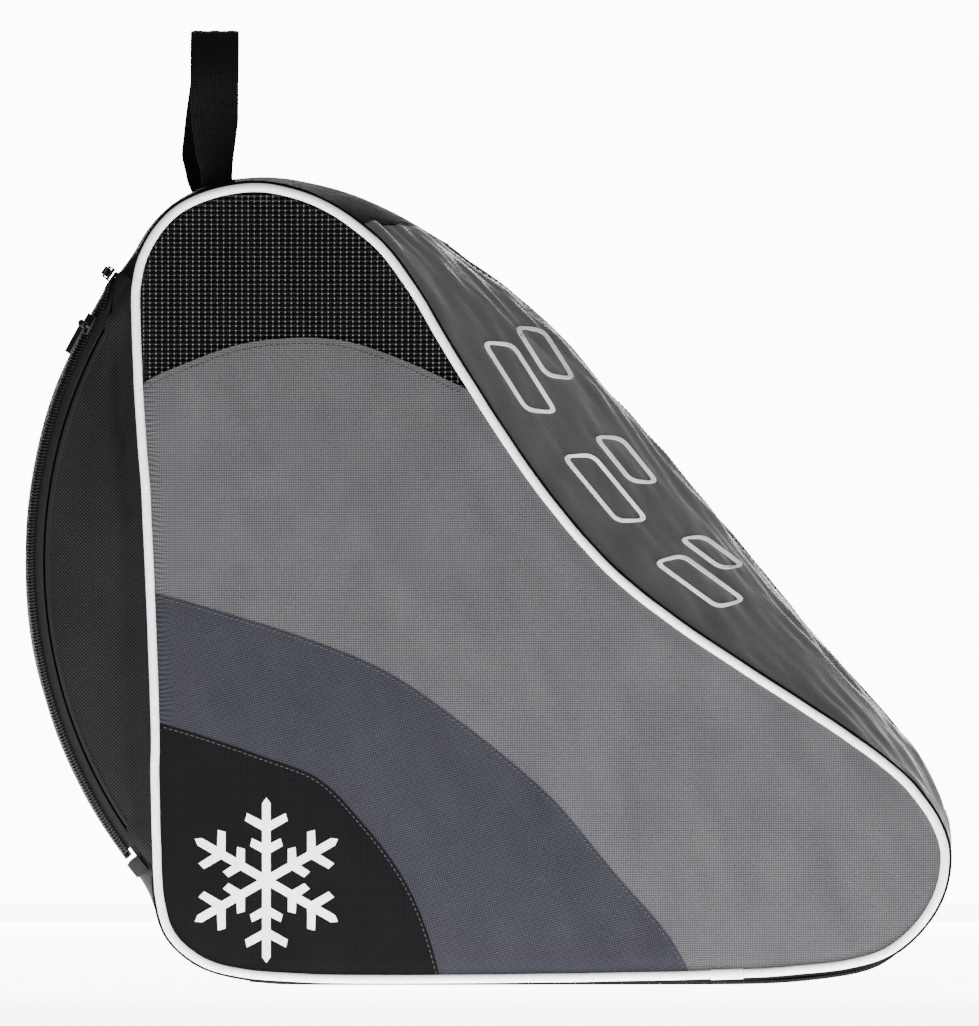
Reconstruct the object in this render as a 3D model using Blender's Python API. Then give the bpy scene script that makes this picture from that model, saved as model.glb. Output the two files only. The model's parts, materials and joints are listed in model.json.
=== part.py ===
"""Skate bag: a boot-shaped soft bag with piped side panels, a swelling slope gusset and a zipped door.

Metres, +Z up, +X towards the toe, -Y the front side. The origin is under the middle of the bounding box.
Every sheet is a thin closed shell. The door hinges at its lower edge, and the zip sliders ride on its rim.
"""

import math

import bmesh
import bpy
import numpy as np
from mathutils import Vector

# ---------------------------------------------------------------- driving dimensions (metres)
PANEL_LENGTH = 0.421  # side panel, heel to toe, on its piping's centre line
PANEL_HEIGHT = 0.4115  # side panel, base to top, on its piping's centre line
BAG_WIDTH = 0.200  # over both pipings
SWELL = 1.0  # how far the slope gusset swells, against its pattern
BULGE_DEPTH = 0.066  # how far the door's arc stands out from its chord
PIPING_RADIUS = 0.0025
FABRIC = 0.0016  # outer fabric with its lining layer
PADDING = 0.0016  # padded lining behind each side panel
BOARD = 0.0030  # stiffener board in the base
GAP = 0.0003  # clearance between neighbouring pieces
EDGE_ROLL = 0.012  # radius of the rolled edge round the door
ROLL_WIDTH = 0.0145  # width of that rolled edge across the bag
ZIP_FROM_EDGE = 0.004  # zip's centre line, in from the bulge's side
ZIP_CORNER = 0.020  # radius of the zip's two upper corners
TAPE_WIDTH = 0.0040  # each zip tape, out from the centre line
TAPE = 0.0005  # zip tape thickness
COIL_WIDTH = 0.0026  # each half of the coil
COIL_HEIGHT = 0.0017
SLIDER_LENGTH = 0.0105
SLIDER_PLATE = 0.0013
SLIDER_CLEAR = 0.0028  # from each slider's end to the zip's corner
CHEEK = 0.0008  # thickness of the slider's cheek and of its pin's lugs
PIN_RISE = 0.0020  # pin's middle above the slider's plate
PIN_AT = 0.0012  # pin's place along the slider, from its middle towards the pull
PIN_RADIUS = 0.0006  # half the side of the slider's square pin
PULL_LENGTH = 0.017
PULL_WIDTH = 0.0046
PULL = 0.0011
WEBBING_WIDTH = 0.025
WEBBING = 0.0016
HANDLE_TOP = 0.4975  # top of the handle loop above the floor
HANDLE_SPAN = 0.084  # between the handle's feet, across the bag
ZIP_TOP_DROP = 0.030  # arc length from the bulge's top end down to the zip
HINGE_RISE = 0.023  # arc length from the bulge's low end up to the door's hinge
WELT_RADIUS = 0.0019
WELT_CLEAR = 0.0012  # between the bulge's wall and its welt
BULGE_INSET = 0.012  # bulge's edge, in from the bag's side
ZIP_FOOT = 0.004  # arc length from the hinge up to the zip's low ends
HINGE_SLOT = 0.0016  # arc length of the fold at the door's hinge
WALL_TOP = 0.150  # angle from the arc's top end to the side wall's first row
WALL_LOW = 0.058  # angle from the side wall's last row to the arc's low end
WELT_TOP = 0.03  # angle from the zip's top to the welt's end
WELT_LOW = 0.01  # angle from the hinge to the welt's other end
DOOR_FOLD = 0.06  # angle of the plain strip above the hinge
BASE_SAG = 0.0064  # how far the base hangs below the side outline
BOARD_INSET = 0.006  # board's edge, in from the gusset's edge
SEAM_TAPE = 0.0008
SEAM_TAPE_WIDTH = 0.012
SEAM_TAPE_SHORT = 0.3  # outline positions the tape stops before the crest seam's ends
EYE_RADIUS = 0.0020  # pull's eye
TAB = 0.0010  # zip end tabs
TAB_LENGTH = 0.009
TAB_FROM_HINGE = 0.0022
BINDING = 0.0009  # strip that covers the hinge seam
BINDING_END = 0.0105  # arc length from the hinge to its far edge
BINDING_INSET = 0.0075  # its ends, in from the zip's centre line
FOOT_HALF = 0.009  # half a handle foot's length across the bag
PIVOT_RISE = 0.0022  # clearance under the handle's pivot row
ARCH_HEIGHT = 0.9  # height of the loop's arch over half its span

MM = 0.001
# Side outline, anticlockwise from the upper left: x, z and the gusset's crown there, in pattern millimetres.
OUTLINE = [
    (-183.4, 352, 22), (-178, 251, 60), (-173.6, 150, 45), (-172, 60, 13), (-166, 28, 2), (-146, 11, 1),
    (-108, 4.4, 0), (-20, 3.4, 0), (80, 4.6, 0), (165, 8.2, 0), (207, 17, 1), (232, 43, 2),
    (236.5, 74, 4), (214, 108, 15.5), (150, 153, 36), (94, 190.5, 55), (56, 222.5, 62.5), (15, 274, 59.3),
    (-22, 332, 46), (-52, 379, 24), (-86, 405.5, 10.5), (-122, 414.6, 7), (-160, 404, 6), (-179.5, 379, 8),
]
PATTERN_LENGTH = 0.421
PATTERN_HEIGHT = 0.4115
BULGE_ENDS = [(-176, 391.6), (-174, 47)]  # where the door's arc meets the side panel's left edge
# Seams across the side panel, each from its heel side to its slope side, in pattern millimetres.
MESH_SEAM = [
    (-200, 296), (-178, 314), (-157, 323.5), (-130, 333), (-102, 336.5), (-75, 335), (-47, 326), (-10, 309),
    (20, 292),
]
BAND_SEAM = [
    (-195, 209), (-172, 203.5), (-132, 192), (-97, 181), (-57, 165), (-27, 146), (31, 99), (65, 59),
    (94, 25), (112, -8),
]
CORNER_SEAM = [
    (-195, 141), (-170, 136), (-115, 118), (-88, 107), (-66, 85), (-45, 57), (-33, 31), (-22, -8),
]
TOP_SEAM_EDGE = 19.55  # outline position of the slope gusset's top seam at the piping
TOP_SEAM_CREST = 18.75  # and at the crest
TOE_SEAM = 11.9  # where the slope gusset meets the base
HEEL_SEAM = 5.6  # where the heel panel meets the base
HANDLE_AT = 21.48  # outline position of the handle
TOP_PANEL_FROM = 22.7  # where the top panel leaves the bulge for the outline
HEEL_PANEL_FROM = 3.65  # where the heel panel does the same
PIPING_JOIN = 8.45  # outline position of the sleeve over the piping's ends
JOIN_HALF = 0.09  # half the sleeve's length, as a share of the outline's spacing there
BASE_FLAT = (6.05, 8.4)  # the base rests on the floor between these outline positions
BOARD_SPAN = (6.1, 8.35)  # the stiffener board's ends

# ---------------------------------------------------------------- colours (linear RGB), roughness, metallic
GREY = (0.19, 0.19, 0.195, 0.8, 0.0)
SLATE = (0.075, 0.075, 0.105, 0.8, 0.0)
BLACK = (0.017, 0.017, 0.019, 0.75, 0.0)
SATIN = (0.085, 0.085, 0.09, 0.4, 0.0)
MESH_BLACK = (0.009, 0.009, 0.010, 0.85, 0.0)
WHITE = (0.72, 0.75, 0.73, 0.5, 0.0)
LINING = (0.05, 0.05, 0.055, 0.85, 0.0)
COIL_BLACK = (0.02, 0.02, 0.022, 0.4, 0.0)
METAL = (0.06, 0.06, 0.065, 0.35, 0.9)
BOARD_GREY = (0.03, 0.03, 0.03, 0.6, 0.0)


# ---------------------------------------------------------------- the shape's curves and surfaces
def spline_point(points, u, closed):
    """Centripetal Catmull-Rom point at u, where point k of the list is at u = k."""
    count = len(points)
    k = int(math.floor(u))
    if closed:
        p = [np.array(points[(k + j) % count], float) for j in (-1, 0, 1, 2)]
    else:
        k = min(max(k, 0), count - 2)
        rows = [np.array(q, float) for q in points]
        rows = [2 * rows[0] - rows[1], *rows, 2 * rows[-1] - rows[-2]]
        p = rows[k:k + 4]
    knots = [0.0]
    for a, b in zip(p, p[1:]):
        knots.append(knots[-1] + max(np.linalg.norm((b - a)[:2]), 1e-9) ** 0.5)
    t = knots[1] + (u - k) * (knots[2] - knots[1])

    def mix(a, b, i, j):
        return ((knots[j] - t) * a + (t - knots[i]) * b) / (knots[j] - knots[i])

    a1, a2, a3 = mix(p[0], p[1], 0, 1), mix(p[1], p[2], 1, 2), mix(p[2], p[3], 2, 3)
    b1, b2 = mix(a1, a2, 0, 2), mix(a2, a3, 1, 3)
    return mix(b1, b2, 1, 2)


SCALE_X = PANEL_LENGTH / PATTERN_LENGTH
SCALE_Z = PANEL_HEIGHT / PATTERN_HEIGHT


def to_metres(point):
    """A pattern point in metres, before the frame's shift in x."""
    return np.array((point[0] * MM * SCALE_X, point[1] * MM * SCALE_Z))


def bulge_circle():
    """Centre and radius of the door's arc, through its two ends."""
    top, low = (to_metres(p) for p in BULGE_ENDS)
    chord = np.linalg.norm(top - low)
    radius = (chord * chord / 4 + BULGE_DEPTH ** 2) / (2 * BULGE_DEPTH)
    along = (low - top) / chord
    outward = np.array((along[1], -along[0]))
    return (top + low) / 2 - outward * (radius - BULGE_DEPTH), radius


CENTRE, RADIUS = bulge_circle()
TOE_POINTS = [to_metres(spline_point(OUTLINE, 12 + k / 20, True)) for k in range(-20, 20)]
RIGHT_END = max(point[0] for point in TOE_POINTS) + PIPING_RADIUS
SHIFT = -(CENTRE[0] - RADIUS + RIGHT_END) / 2
CENTRE[0] += SHIFT
PANEL_Y = BAG_WIDTH / 2 - PIPING_RADIUS  # middle of the side panels and the piping
GUSSET_Y = PANEL_Y - PIPING_RADIUS - GAP  # the gusset's edge
BULGE_Y = BAG_WIDTH / 2 - BULGE_INSET
ZIP_Y = BULGE_Y - ZIP_FROM_EDGE
INSIDE = np.array((0.0, 0.0, PANEL_HEIGHT / 2))  # a point inside the bag


def outline(u):
    """Point of the side outline, in metres, as (x, z)."""
    point = to_metres(spline_point(OUTLINE, u % len(OUTLINE), True))
    return point + np.array((SHIFT, 0.0))


def spacing(u):
    """Length of the outline for one step of u, near u."""
    return np.linalg.norm(outline(u + 0.5) - outline(u - 0.5))


def outward(u):
    """Unit normal of the outline, pointing out of the bag."""
    step = outline(u + 0.01) - outline(u - 0.01)
    step /= np.linalg.norm(step)
    return np.array((step[1], -step[0]))


def crown(u):
    """How far the gusset stands out over the outline, halfway across the bag."""
    return SWELL * MM * spline_point(OUTLINE, u % len(OUTLINE), True)[2]


def gusset(u, across, lift=0.0):
    """Point of the gusset at outline position u; across runs from -1 at the front to 1 at the rear."""
    height = crown(u) * (1 - across * across) + lift
    x, z = outline(u) + outward(u) * height
    return Vector((x, across * GUSSET_Y, z))


def edge_drop(y):
    """How far the rolled edge lies inside the door's arc at y."""
    t = min(max((abs(y) - (BULGE_Y - ROLL_WIDTH * 0.97)) / ROLL_WIDTH, 0.0), 0.97)
    return EDGE_ROLL * (1 - math.sqrt(1 - t * t))


def angle_of(point):
    """Angle of a pattern point about the arc's centre."""
    x, z = to_metres(point) + np.array((SHIFT, 0.0)) - CENTRE
    return math.atan2(z, x) % (2 * math.pi)


ARC_TOP = angle_of(BULGE_ENDS[0])
ARC_LOW = angle_of(BULGE_ENDS[1])
ZIP_TOP = ARC_TOP + ZIP_TOP_DROP / RADIUS
HINGE = ARC_LOW - HINGE_RISE / RADIUS
ZIP_LOW = HINGE - ZIP_FOOT / RADIUS


def bulge(angle, y, lift=0.0):
    """Point of the bulge's outer surface, lifted along its normal."""
    def at(a, v):
        r = RADIUS - edge_drop(v)
        return Vector((CENTRE[0] + r * math.cos(a), v, CENTRE[1] + r * math.sin(a)))

    place = at(angle, y)
    if lift:
        side = at(angle, y + 1e-4) - at(angle, y - 1e-4)
        along = at(angle + 1e-4, y) - at(angle - 1e-4, y)
        place = place + side.cross(along).normalized() * lift
    return place


def zip_path(steps_leg, steps_corner, steps_top):
    """The zip's centre line as (angle, y, heading): up the front, over the top and down the rear."""
    corner_angle = ZIP_CORNER / RADIUS
    rows = []
    for k in range(steps_leg + 1):
        rows.append((ZIP_LOW + (ZIP_TOP + corner_angle - ZIP_LOW) * k / steps_leg, -ZIP_Y, 0.0))
    for k in range(1, steps_corner + 1):
        turn = math.pi / 2 * k / steps_corner
        y = -ZIP_Y + ZIP_CORNER * (1 - math.cos(turn))
        rows.append((ZIP_TOP + corner_angle * (1 - math.sin(turn)), y, turn))
    for k in range(1, steps_top):
        rows.append((ZIP_TOP, (-1 + 2 * k / steps_top) * (ZIP_Y - ZIP_CORNER), math.pi / 2))
    mirrored = [(a, -y, math.pi - turn) for a, y, turn in rows if turn < math.pi / 2 or y < -1e-6]
    return rows + mirrored[::-1]


def beside_zip(row, offset, lift=0.0):
    """Point beside the zip's centre line: a positive offset is on the door's side."""
    angle, y, turn = row
    return bulge(angle + offset * math.sin(turn) / RADIUS, y + offset * math.cos(turn), lift)


def zip_frame(row, facing=1):
    """Origin and axes at a point of the zip: along it, across it and out of the bag."""
    place = beside_zip(row, 0.0)
    across = (beside_zip(row, 1e-4) - beside_zip(row, -1e-4)).normalized()
    out = (beside_zip(row, 0.0, 1e-3) - place).normalized()
    return place, across.cross(out) * facing, across * facing, out


# ---------------------------------------------------------------- making objects
def finish(name, mesh_data, look):
    """Link the bmesh as a named object with its own material."""
    bmesh.ops.recalc_face_normals(mesh_data, faces=mesh_data.faces[:])
    mesh = bpy.data.meshes.new(name)
    mesh_data.to_mesh(mesh)
    mesh_data.free()
    mesh.shade_smooth()
    mesh.set_sharp_from_angle(angle=math.radians(35))
    piece = bpy.data.objects.new(name, mesh)
    bpy.context.collection.objects.link(piece)
    paint(piece, look)
    return piece


def paint(piece, look):
    material = bpy.data.materials.new(piece.name + "_material")
    material.use_nodes = True
    shader = material.node_tree.nodes["Principled BSDF"]
    shader.inputs["Base Color"].default_value = (*look[:3], 1.0)
    shader.inputs["Roughness"].default_value = look[3]
    shader.inputs["Metallic"].default_value = look[4]
    piece.data.materials.append(material)


def shell(name, outer, inner, look):
    """Closed sheet between two grids of points of the same size."""
    data = bmesh.new()
    rows, columns = len(outer), len(outer[0])
    front = [[data.verts.new(p) for p in row] for row in outer]
    back = [[data.verts.new(p) for p in row] for row in inner]
    for i in range(rows - 1):
        for j in range(columns - 1):
            data.faces.new((front[i][j], front[i + 1][j], front[i + 1][j + 1], front[i][j + 1]))
            data.faces.new((back[i][j], back[i][j + 1], back[i + 1][j + 1], back[i + 1][j]))
        for j, ends in ((0, (i, i + 1)), (columns - 1, (i + 1, i))):
            a, b = ends
            data.faces.new((front[a][j], back[a][j], back[b][j], front[b][j]))
    for j in range(columns - 1):
        for i, ends in ((0, (j + 1, j)), (rows - 1, (j, j + 1))):
            a, b = ends
            data.faces.new((front[i][a], back[i][a], back[i][b], front[i][b]))
    return finish(name, data, look)


def sheet(name, grid, thickness, look):
    """Closed sheet under a grid of points, thickened along its own normals towards the bag's inside."""
    points = np.array([[tuple(p) for p in row] for row in grid])
    normal = np.cross(np.gradient(points, axis=1), np.gradient(points, axis=0))
    normal /= np.linalg.norm(normal, axis=2, keepdims=True)
    normal *= np.sign(np.sum(normal * (points - INSIDE)))
    return shell(name, points.tolist(), (points - normal * thickness).tolist(), look)


def prism(name, loop, direction, look):
    """Closed prism from a flat loop of points, pushed along a direction."""
    data = bmesh.new()
    face = data.faces.new([data.verts.new(p) for p in loop])
    made = bmesh.ops.extrude_face_region(data, geom=[face])
    moved = [v for v in made["geom"] if isinstance(v, bmesh.types.BMVert)]
    bmesh.ops.translate(data, verts=moved, vec=direction)
    return finish(name, data, look)


def tube(name, points, radius, look):
    """Round tube with closed ends along a list of points."""
    curve = bpy.data.curves.new(name, "CURVE")
    curve.dimensions = "3D"
    curve.bevel_depth = radius
    curve.bevel_resolution = 1
    curve.use_fill_caps = True
    line = curve.splines.new("POLY")
    line.points.add(len(points) - 1)
    for slot, point in zip(line.points, points):
        slot.co = (*point, 1.0)
    piece = bpy.data.objects.new(name, curve)
    bpy.context.collection.objects.link(piece)
    paint(piece, look)
    return piece


def move_origin(piece, place):
    """Set a moving piece's origin on its joint's axis."""
    piece.data.transform(piece.matrix_world.inverted() @ piece.matrix_world.Translation(-Vector(place)))
    piece.location = place


# ---------------------------------------------------------------- side panels
def inset_outline(inset, steps_each=3):
    """The side outline moved inwards, as (x, z) points."""
    count = len(OUTLINE) * steps_each
    return [outline(k / steps_each) - outward(k / steps_each) * inset for k in range(count)]


def seam_line(points, shift):
    """A seam's points in metres, moved sideways: a positive shift is upwards."""
    line = []
    for k in range(3 * (len(points) - 1) + 1):
        here = to_metres(spline_point(points, k / 3, False))
        step = to_metres(spline_point(points, k / 3 + 0.01, False)) - here
        step /= np.linalg.norm(step)
        line.append(here + np.array((SHIFT, 0.0)) + np.array((-step[1], step[0])) * shift)
    return line


def crossing(a, b, c, d):
    """Where segment ab meets segment cd, or None."""
    r, s = b - a, d - c
    bottom = r[0] * s[1] - r[1] * s[0]
    if abs(bottom) < 1e-15:
        return None
    t = ((c - a)[0] * s[1] - (c - a)[1] * s[0]) / bottom
    v = ((c - a)[0] * r[1] - (c - a)[1] * r[0]) / bottom
    return (t, v) if 0 <= t < 1 and 0 <= v < 1 else None


def cut(loop, line, keep_upper):
    """The part of a closed loop above or below a seam that crosses it twice."""
    hits = []
    for i, a in enumerate(loop):
        for j in range(len(line) - 1):
            hit = crossing(a, loop[(i + 1) % len(loop)], line[j], line[j + 1])
            if hit:
                place = line[j] + (line[j + 1] - line[j]) * hit[1]
                hits.append((j + hit[1], i, place))
    (v0, i0, p0), (v1, i1, p1) = sorted(hits, key=lambda h: h[0])
    between = [line[j] for j in range(math.ceil(v0 + 1e-9), math.floor(v1) + 1)]
    count = len(loop)
    if keep_upper:
        rim = [loop[(i1 + 1 + k) % count] for k in range((i0 - i1) % count)]
        return [p0, *between, p1, *rim]
    rim = [loop[(i0 + 1 + k) % count] for k in range((i1 - i0) % count)]
    return [p1, *between[::-1], p0, *rim]


def thin(loop, closest=0.0012):
    """Drop points that lie almost on top of their neighbour."""
    kept = []
    for p in loop:
        if not kept or np.linalg.norm(p - kept[-1]) > closest:
            kept.append(p)
    if np.linalg.norm(kept[0] - kept[-1]) < closest:
        kept.pop()
    return kept


def side_panels(side, name):
    face = inset_outline(PIPING_RADIUS + GAP)
    half = GAP / 2
    parts = {
        "side_mesh": (cut(face, seam_line(MESH_SEAM, half), True), MESH_BLACK),
        "side_panel": (
            cut(cut(face, seam_line(MESH_SEAM, -half), False), seam_line(BAND_SEAM, half), True), GREY),
        "side_band": (
            cut(cut(face, seam_line(BAND_SEAM, -half), False), seam_line(CORNER_SEAM, half), True), SLATE),
        "side_corner": (cut(face, seam_line(CORNER_SEAM, -half), False), BLACK),
    }
    outer = side * (PANEL_Y + FABRIC / 2)
    for node, (loop, look) in parts.items():
        prism(f"{node}_{name}", [(p[0], outer, p[1]) for p in thin(loop)], (0, -side * FABRIC, 0), look)
    back = side * (PANEL_Y - FABRIC / 2 - GAP)
    lining = inset_outline(FABRIC + PIPING_RADIUS + 2 * GAP, 2)
    prism(f"side_lining_{name}", [(p[0], back, p[1]) for p in lining], (0, -side * PADDING, 0), LINING)


def piping(side, name):
    """Piping round the side panel, open under the base where a sleeve joins its ends."""
    y = side * PANEL_Y
    steps = 74
    span = len(OUTLINE) - 2 * JOIN_HALF
    path = [outline(PIPING_JOIN + JOIN_HALF + span * k / steps) for k in range(steps + 1)]
    tube(f"piping_{name}", [(p[0], y, p[1]) for p in path], PIPING_RADIUS, WHITE)
    gap = GAP / spacing(PIPING_JOIN)
    reach = JOIN_HALF - gap
    cover = [outline(PIPING_JOIN - reach + 2 * reach * k / 3) for k in range(4)]
    tube(f"piping_join_{name}", [(p[0], y, p[1]) for p in cover], PIPING_RADIUS * 1.02, WHITE)


# ---------------------------------------------------------------- gussets
HALF_COLUMNS = 8  # faces across half the gusset, the same on both sides of the top seam


def slope_panels():
    """The two halves of the slope gusset and the tape inside their crest seam."""
    steps, columns = 24, HALF_COLUMNS
    seam = GAP / 2 / GUSSET_Y
    for side, name in ((-1, "front"), (1, "rear")):
        grid = []
        for i in range(steps + 1):
            row = []
            for j in range(columns + 1):
                t = seam + (1 - seam) * j / columns
                top = TOP_SEAM_CREST + (TOP_SEAM_EDGE - TOP_SEAM_CREST) * t
                u = TOE_SEAM + (top - TOE_SEAM) * i / steps
                row.append(gusset(u, side * t))
            grid.append(row)
        sheet(f"slope_gusset_{name}", grid, FABRIC, SATIN)
    tape = []
    for i in range(steps + 1):
        first = TOE_SEAM + SEAM_TAPE_SHORT
        u = first + (TOP_SEAM_CREST - SEAM_TAPE_SHORT - first) * i / steps
        middle = gusset(u, 0.0, -FABRIC - 2.5 * GAP)
        tape.append([middle + Vector((0, side * SEAM_TAPE_WIDTH / 2, 0)) for side in (-1, 1)])
    sheet("crest_seam_tape", tape, SEAM_TAPE, BLACK)


def spread(count):
    """Positions across the gusset, from -1 to 1."""
    return [-1 + 2 * k / count for k in range(count + 1)]


def top_panel():
    """Panel from the zip's upper edge over the top to the slope gusset."""
    across = spread(2 * HALF_COLUMNS)
    rows = []
    above = ZIP_TOP - (TAPE_WIDTH + GAP) / RADIUS
    for angle in (above, (above + ARC_TOP) / 2):
        rows.append([bulge(angle, t * BULGE_Y) for t in across])
    gap = 2 * GAP / min(spacing(TOP_SEAM_CREST), spacing(TOP_SEAM_EDGE))
    for k in range(10):
        row = []
        for t in across:
            end = TOP_SEAM_CREST + (TOP_SEAM_EDGE - TOP_SEAM_CREST) * abs(t) + gap
            row.append(gusset(TOP_PANEL_FROM + (end - TOP_PANEL_FROM) * k / 9, t))
        rows.append(row)
    sheet("top_panel", rows, FABRIC, BLACK)


def heel_panel():
    """Panel from the door's hinge down and round the heel corner to the base."""
    across = spread(10)
    rows = [[bulge(HINGE + HINGE_SLOT / RADIUS, t * BULGE_Y) for t in across]]
    rows.append([bulge((HINGE + 2 * ARC_LOW) / 3, t * (BULGE_Y + GUSSET_Y) / 2) for t in across])
    for k in range(8):
        u = HEEL_PANEL_FROM + (HEEL_SEAM - 0.012 - HEEL_PANEL_FROM) * k / 7
        rows.append([gusset(u, t) for t in across])
    sheet("heel_panel", rows, FABRIC, BLACK)


def base():
    """Flat base panel, turned up at the toe, with the stiffener board inside it."""
    turned_up = [8.8, 9.3, 9.7, 10.0, 10.4, 10.8, 11.2, 11.55]
    stops = [HEEL_SEAM + 0.02, 5.8, *BASE_FLAT, *turned_up, TOE_SEAM - 0.02]
    grid = []
    for u in stops:
        x, z = outline(u)
        nx, nz = outward(u)
        low = max(0.0, z + nz * BASE_SAG) if nz < 0 else z
        grid.append([Vector((x, y, low)) for y in (-GUSSET_Y, GUSSET_Y)])
    sheet("base_panel", grid, FABRIC, BLACK)
    start, end = (outline(u)[0] for u in BOARD_SPAN)
    low = FABRIC + GAP
    wide = GUSSET_Y - BOARD_INSET
    corners = [(start, -wide, low), (end, -wide, low), (end, wide, low), (start, wide, low)]
    prism("base_board", corners, (0, 0, BOARD), BOARD_GREY)


# ---------------------------------------------------------------- bulge, door and zip
def left_edge(z):
    """Outline position on the bag's left edge at height z."""
    marks = [k / 20 for k in range(-16, 66)]
    return min(marks, key=lambda u: abs(outline(u)[1] - z))


def bulge_sides():
    """D-shaped side walls between the side panels' left edge and the welts."""
    rim = RADIUS - edge_drop(BULGE_Y) - 2 * WELT_RADIUS - WELT_CLEAR
    first, last = ARC_TOP + WALL_TOP, ARC_LOW - WALL_LOW
    for side, name in ((-1, "front"), (1, "rear")):
        grid, welt = [], []
        for i in range(21):
            angle = first + (last - first) * i / 20
            arc = np.array((CENTRE[0] + rim * math.cos(angle), CENTRE[1] + rim * math.sin(angle)))
            inner = outline(left_edge(arc[1]))
            row = []
            for t in (0.0, 0.3, 0.65, 1.0):
                x, z = inner + (arc - inner) * t
                row.append((x, side * (GUSSET_Y + (BULGE_Y - GUSSET_Y) * t), z))
            grid.append(row)
        sheet(f"bulge_side_{name}", grid, FABRIC, BLACK)
        middle = rim + GAP + WELT_RADIUS
        upper, lower = ZIP_TOP + WELT_TOP, HINGE - WELT_LOW
        for i in range(25):
            angle = upper + (lower - upper) * i / 24
            x = CENTRE[0] + middle * math.cos(angle)
            z = CENTRE[1] + middle * math.sin(angle)
            welt.append((x, side * BULGE_Y, z))
        tube(f"welt_{name}", welt, WELT_RADIUS, BLACK)


def door():
    """The door panel inside the zip: a band of the bulge with two rounded upper corners."""
    edge = TAPE_WIDTH + 2 * GAP
    rows = []
    fold = HINGE - DOOR_FOLD
    start = [(HINGE - GAP / RADIUS, -ZIP_Y, 0.0), (fold, -ZIP_Y, 0.0)]
    rising = [row for row in zip_path(12, 4, 2) if row[2] < math.pi / 2 - 1e-6]
    path = start + [row for row in rising if row[0] < fold - 0.01]
    path.append((ZIP_TOP, -ZIP_Y + ZIP_CORNER, math.pi / 2))
    for angle, y, turn in path:
        left = y + edge * math.cos(turn)
        at = angle + edge * math.sin(turn) / RADIUS
        rows.append([bulge(at, left * t) for t in (1, 0.94, 0.86, 0.5, 0, -0.5, -0.86, -0.94, -1)])
    sheet("door_panel", rows, FABRIC, BLACK)


def zip_parts():
    """Zip tapes and coil halves, on the bag's side and on the door's side."""
    path = zip_path(18, 4, 4)
    for sign, where in ((-1, "bag"), (1, "door")):
        inner, tape = sign * GAP / 2, sign * TAPE_WIDTH
        coil = sign * COIL_WIDTH
        low = [[beside_zip(row, w, -TAPE) for w in (inner, tape)] for row in path]
        top = [[beside_zip(row, w) for w in (inner, tape)] for row in path]
        shell(f"zip_tape_{where}", top, low, COIL_BLACK)
        foot, head = [], []
        for row in path:
            place, _, across, out = zip_frame(row)
            foot.append([place + across * w + out * GAP for w in (inner, coil)])
            head.append([place + across * w + out * (GAP + COIL_HEIGHT) for w in (inner, coil)])
        shell(f"zip_coil_{where}", head, foot, COIL_BLACK)


def join_bodies(target, other):
    """Union another piece into a target piece, and remove it."""
    union = target.modifiers.new("union", "BOOLEAN")
    union.operation = "UNION"
    union.object = other
    bpy.context.view_layer.objects.active = target
    bpy.ops.object.modifier_apply(modifier=union.name)
    bpy.data.objects.remove(other)


def pull(name, frame, pin_at, pin_out):
    """Pull tab with an eye round the slider's pin, as one closed body."""
    place, along, across, out = frame
    half = PULL / 2
    corner = math.asin(half / EYE_RADIUS)
    turns = [corner + (2 * math.pi - 2 * corner) * k / 10 for k in range(11)]
    rim = [(PULL_LENGTH, -half), (PULL_LENGTH, half)]
    rim += [(EYE_RADIUS * math.cos(t), EYE_RADIUS * math.sin(t)) for t in turns]
    bore = PIN_RADIUS * math.sqrt(2) + GAP
    angles = [-corner * 0.5, corner * 0.5, *turns]
    hole = [(bore * math.cos(t), bore * math.sin(t)) for t in angles]
    data = bmesh.new()
    loops = []
    for side in (-PULL_WIDTH / 2, PULL_WIDTH / 2):
        for loop in (rim, hole):
            middle = place + along * pin_at + out * pin_out + across * side
            loops.append([data.verts.new(middle + along * a + out * c) for a, c in loop])
    count = len(rim)
    for k in range(count):
        n = (k + 1) % count
        for first, second in ((0, 1), (1, 3), (3, 2), (2, 0)):
            one, two = loops[first], loops[second]
            data.faces.new((one[k], one[n], two[n], two[k]))
    return finish(name, data, METAL)


def extrusion(name, frame, profile, start, end, look):
    """Profile of (across, out) points pushed along the zip from start to end."""
    place, along, across, out = frame
    loop = [place + along * start + across * w + out * h for w, h in profile]
    return prism(name, loop, along * (end - start), look)


def slider(name, frame, door_side):
    """Zip slider with its pin, and the pull on the pin; its cheek is on the door's side only."""
    low = GAP + COIL_HEIGHT + GAP
    inside = COIL_WIDTH + GAP
    rim = inside + CHEEK
    top = low + SLIDER_PLATE
    foot = low - COIL_HEIGHT * 0.8
    profile = [(-rim, low), (inside, low), (inside, foot), (rim, foot), (rim, top), (-rim, top)]
    profile = [(w * door_side, h) for w, h in profile]
    half = SLIDER_LENGTH / 2
    body = extrusion(f"zip_slider_{name}", frame, profile, -half, half, METAL)
    pin_out = top + PIN_RISE
    wall = PULL_WIDTH / 2 + GAP
    wide = wall + CHEEK
    under, over = pin_out - PIN_RADIUS, pin_out + PIN_RADIUS
    foot = top - CHEEK / 2
    profile = [(-wide, foot), (-wall, foot), (-wall, under), (wall, under),
               (wall, foot), (wide, foot), (wide, over), (-wide, over)]
    bridge = extrusion("bridge", frame, profile, PIN_AT - PIN_RADIUS, PIN_AT + PIN_RADIUS, METAL)
    join_bodies(body, bridge)
    tab = pull(f"zip_pull_{name}", frame, PIN_AT, pin_out)
    place, along, _, out = frame
    move_origin(tab, place + along * PIN_AT + out * pin_out)
    return body


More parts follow.
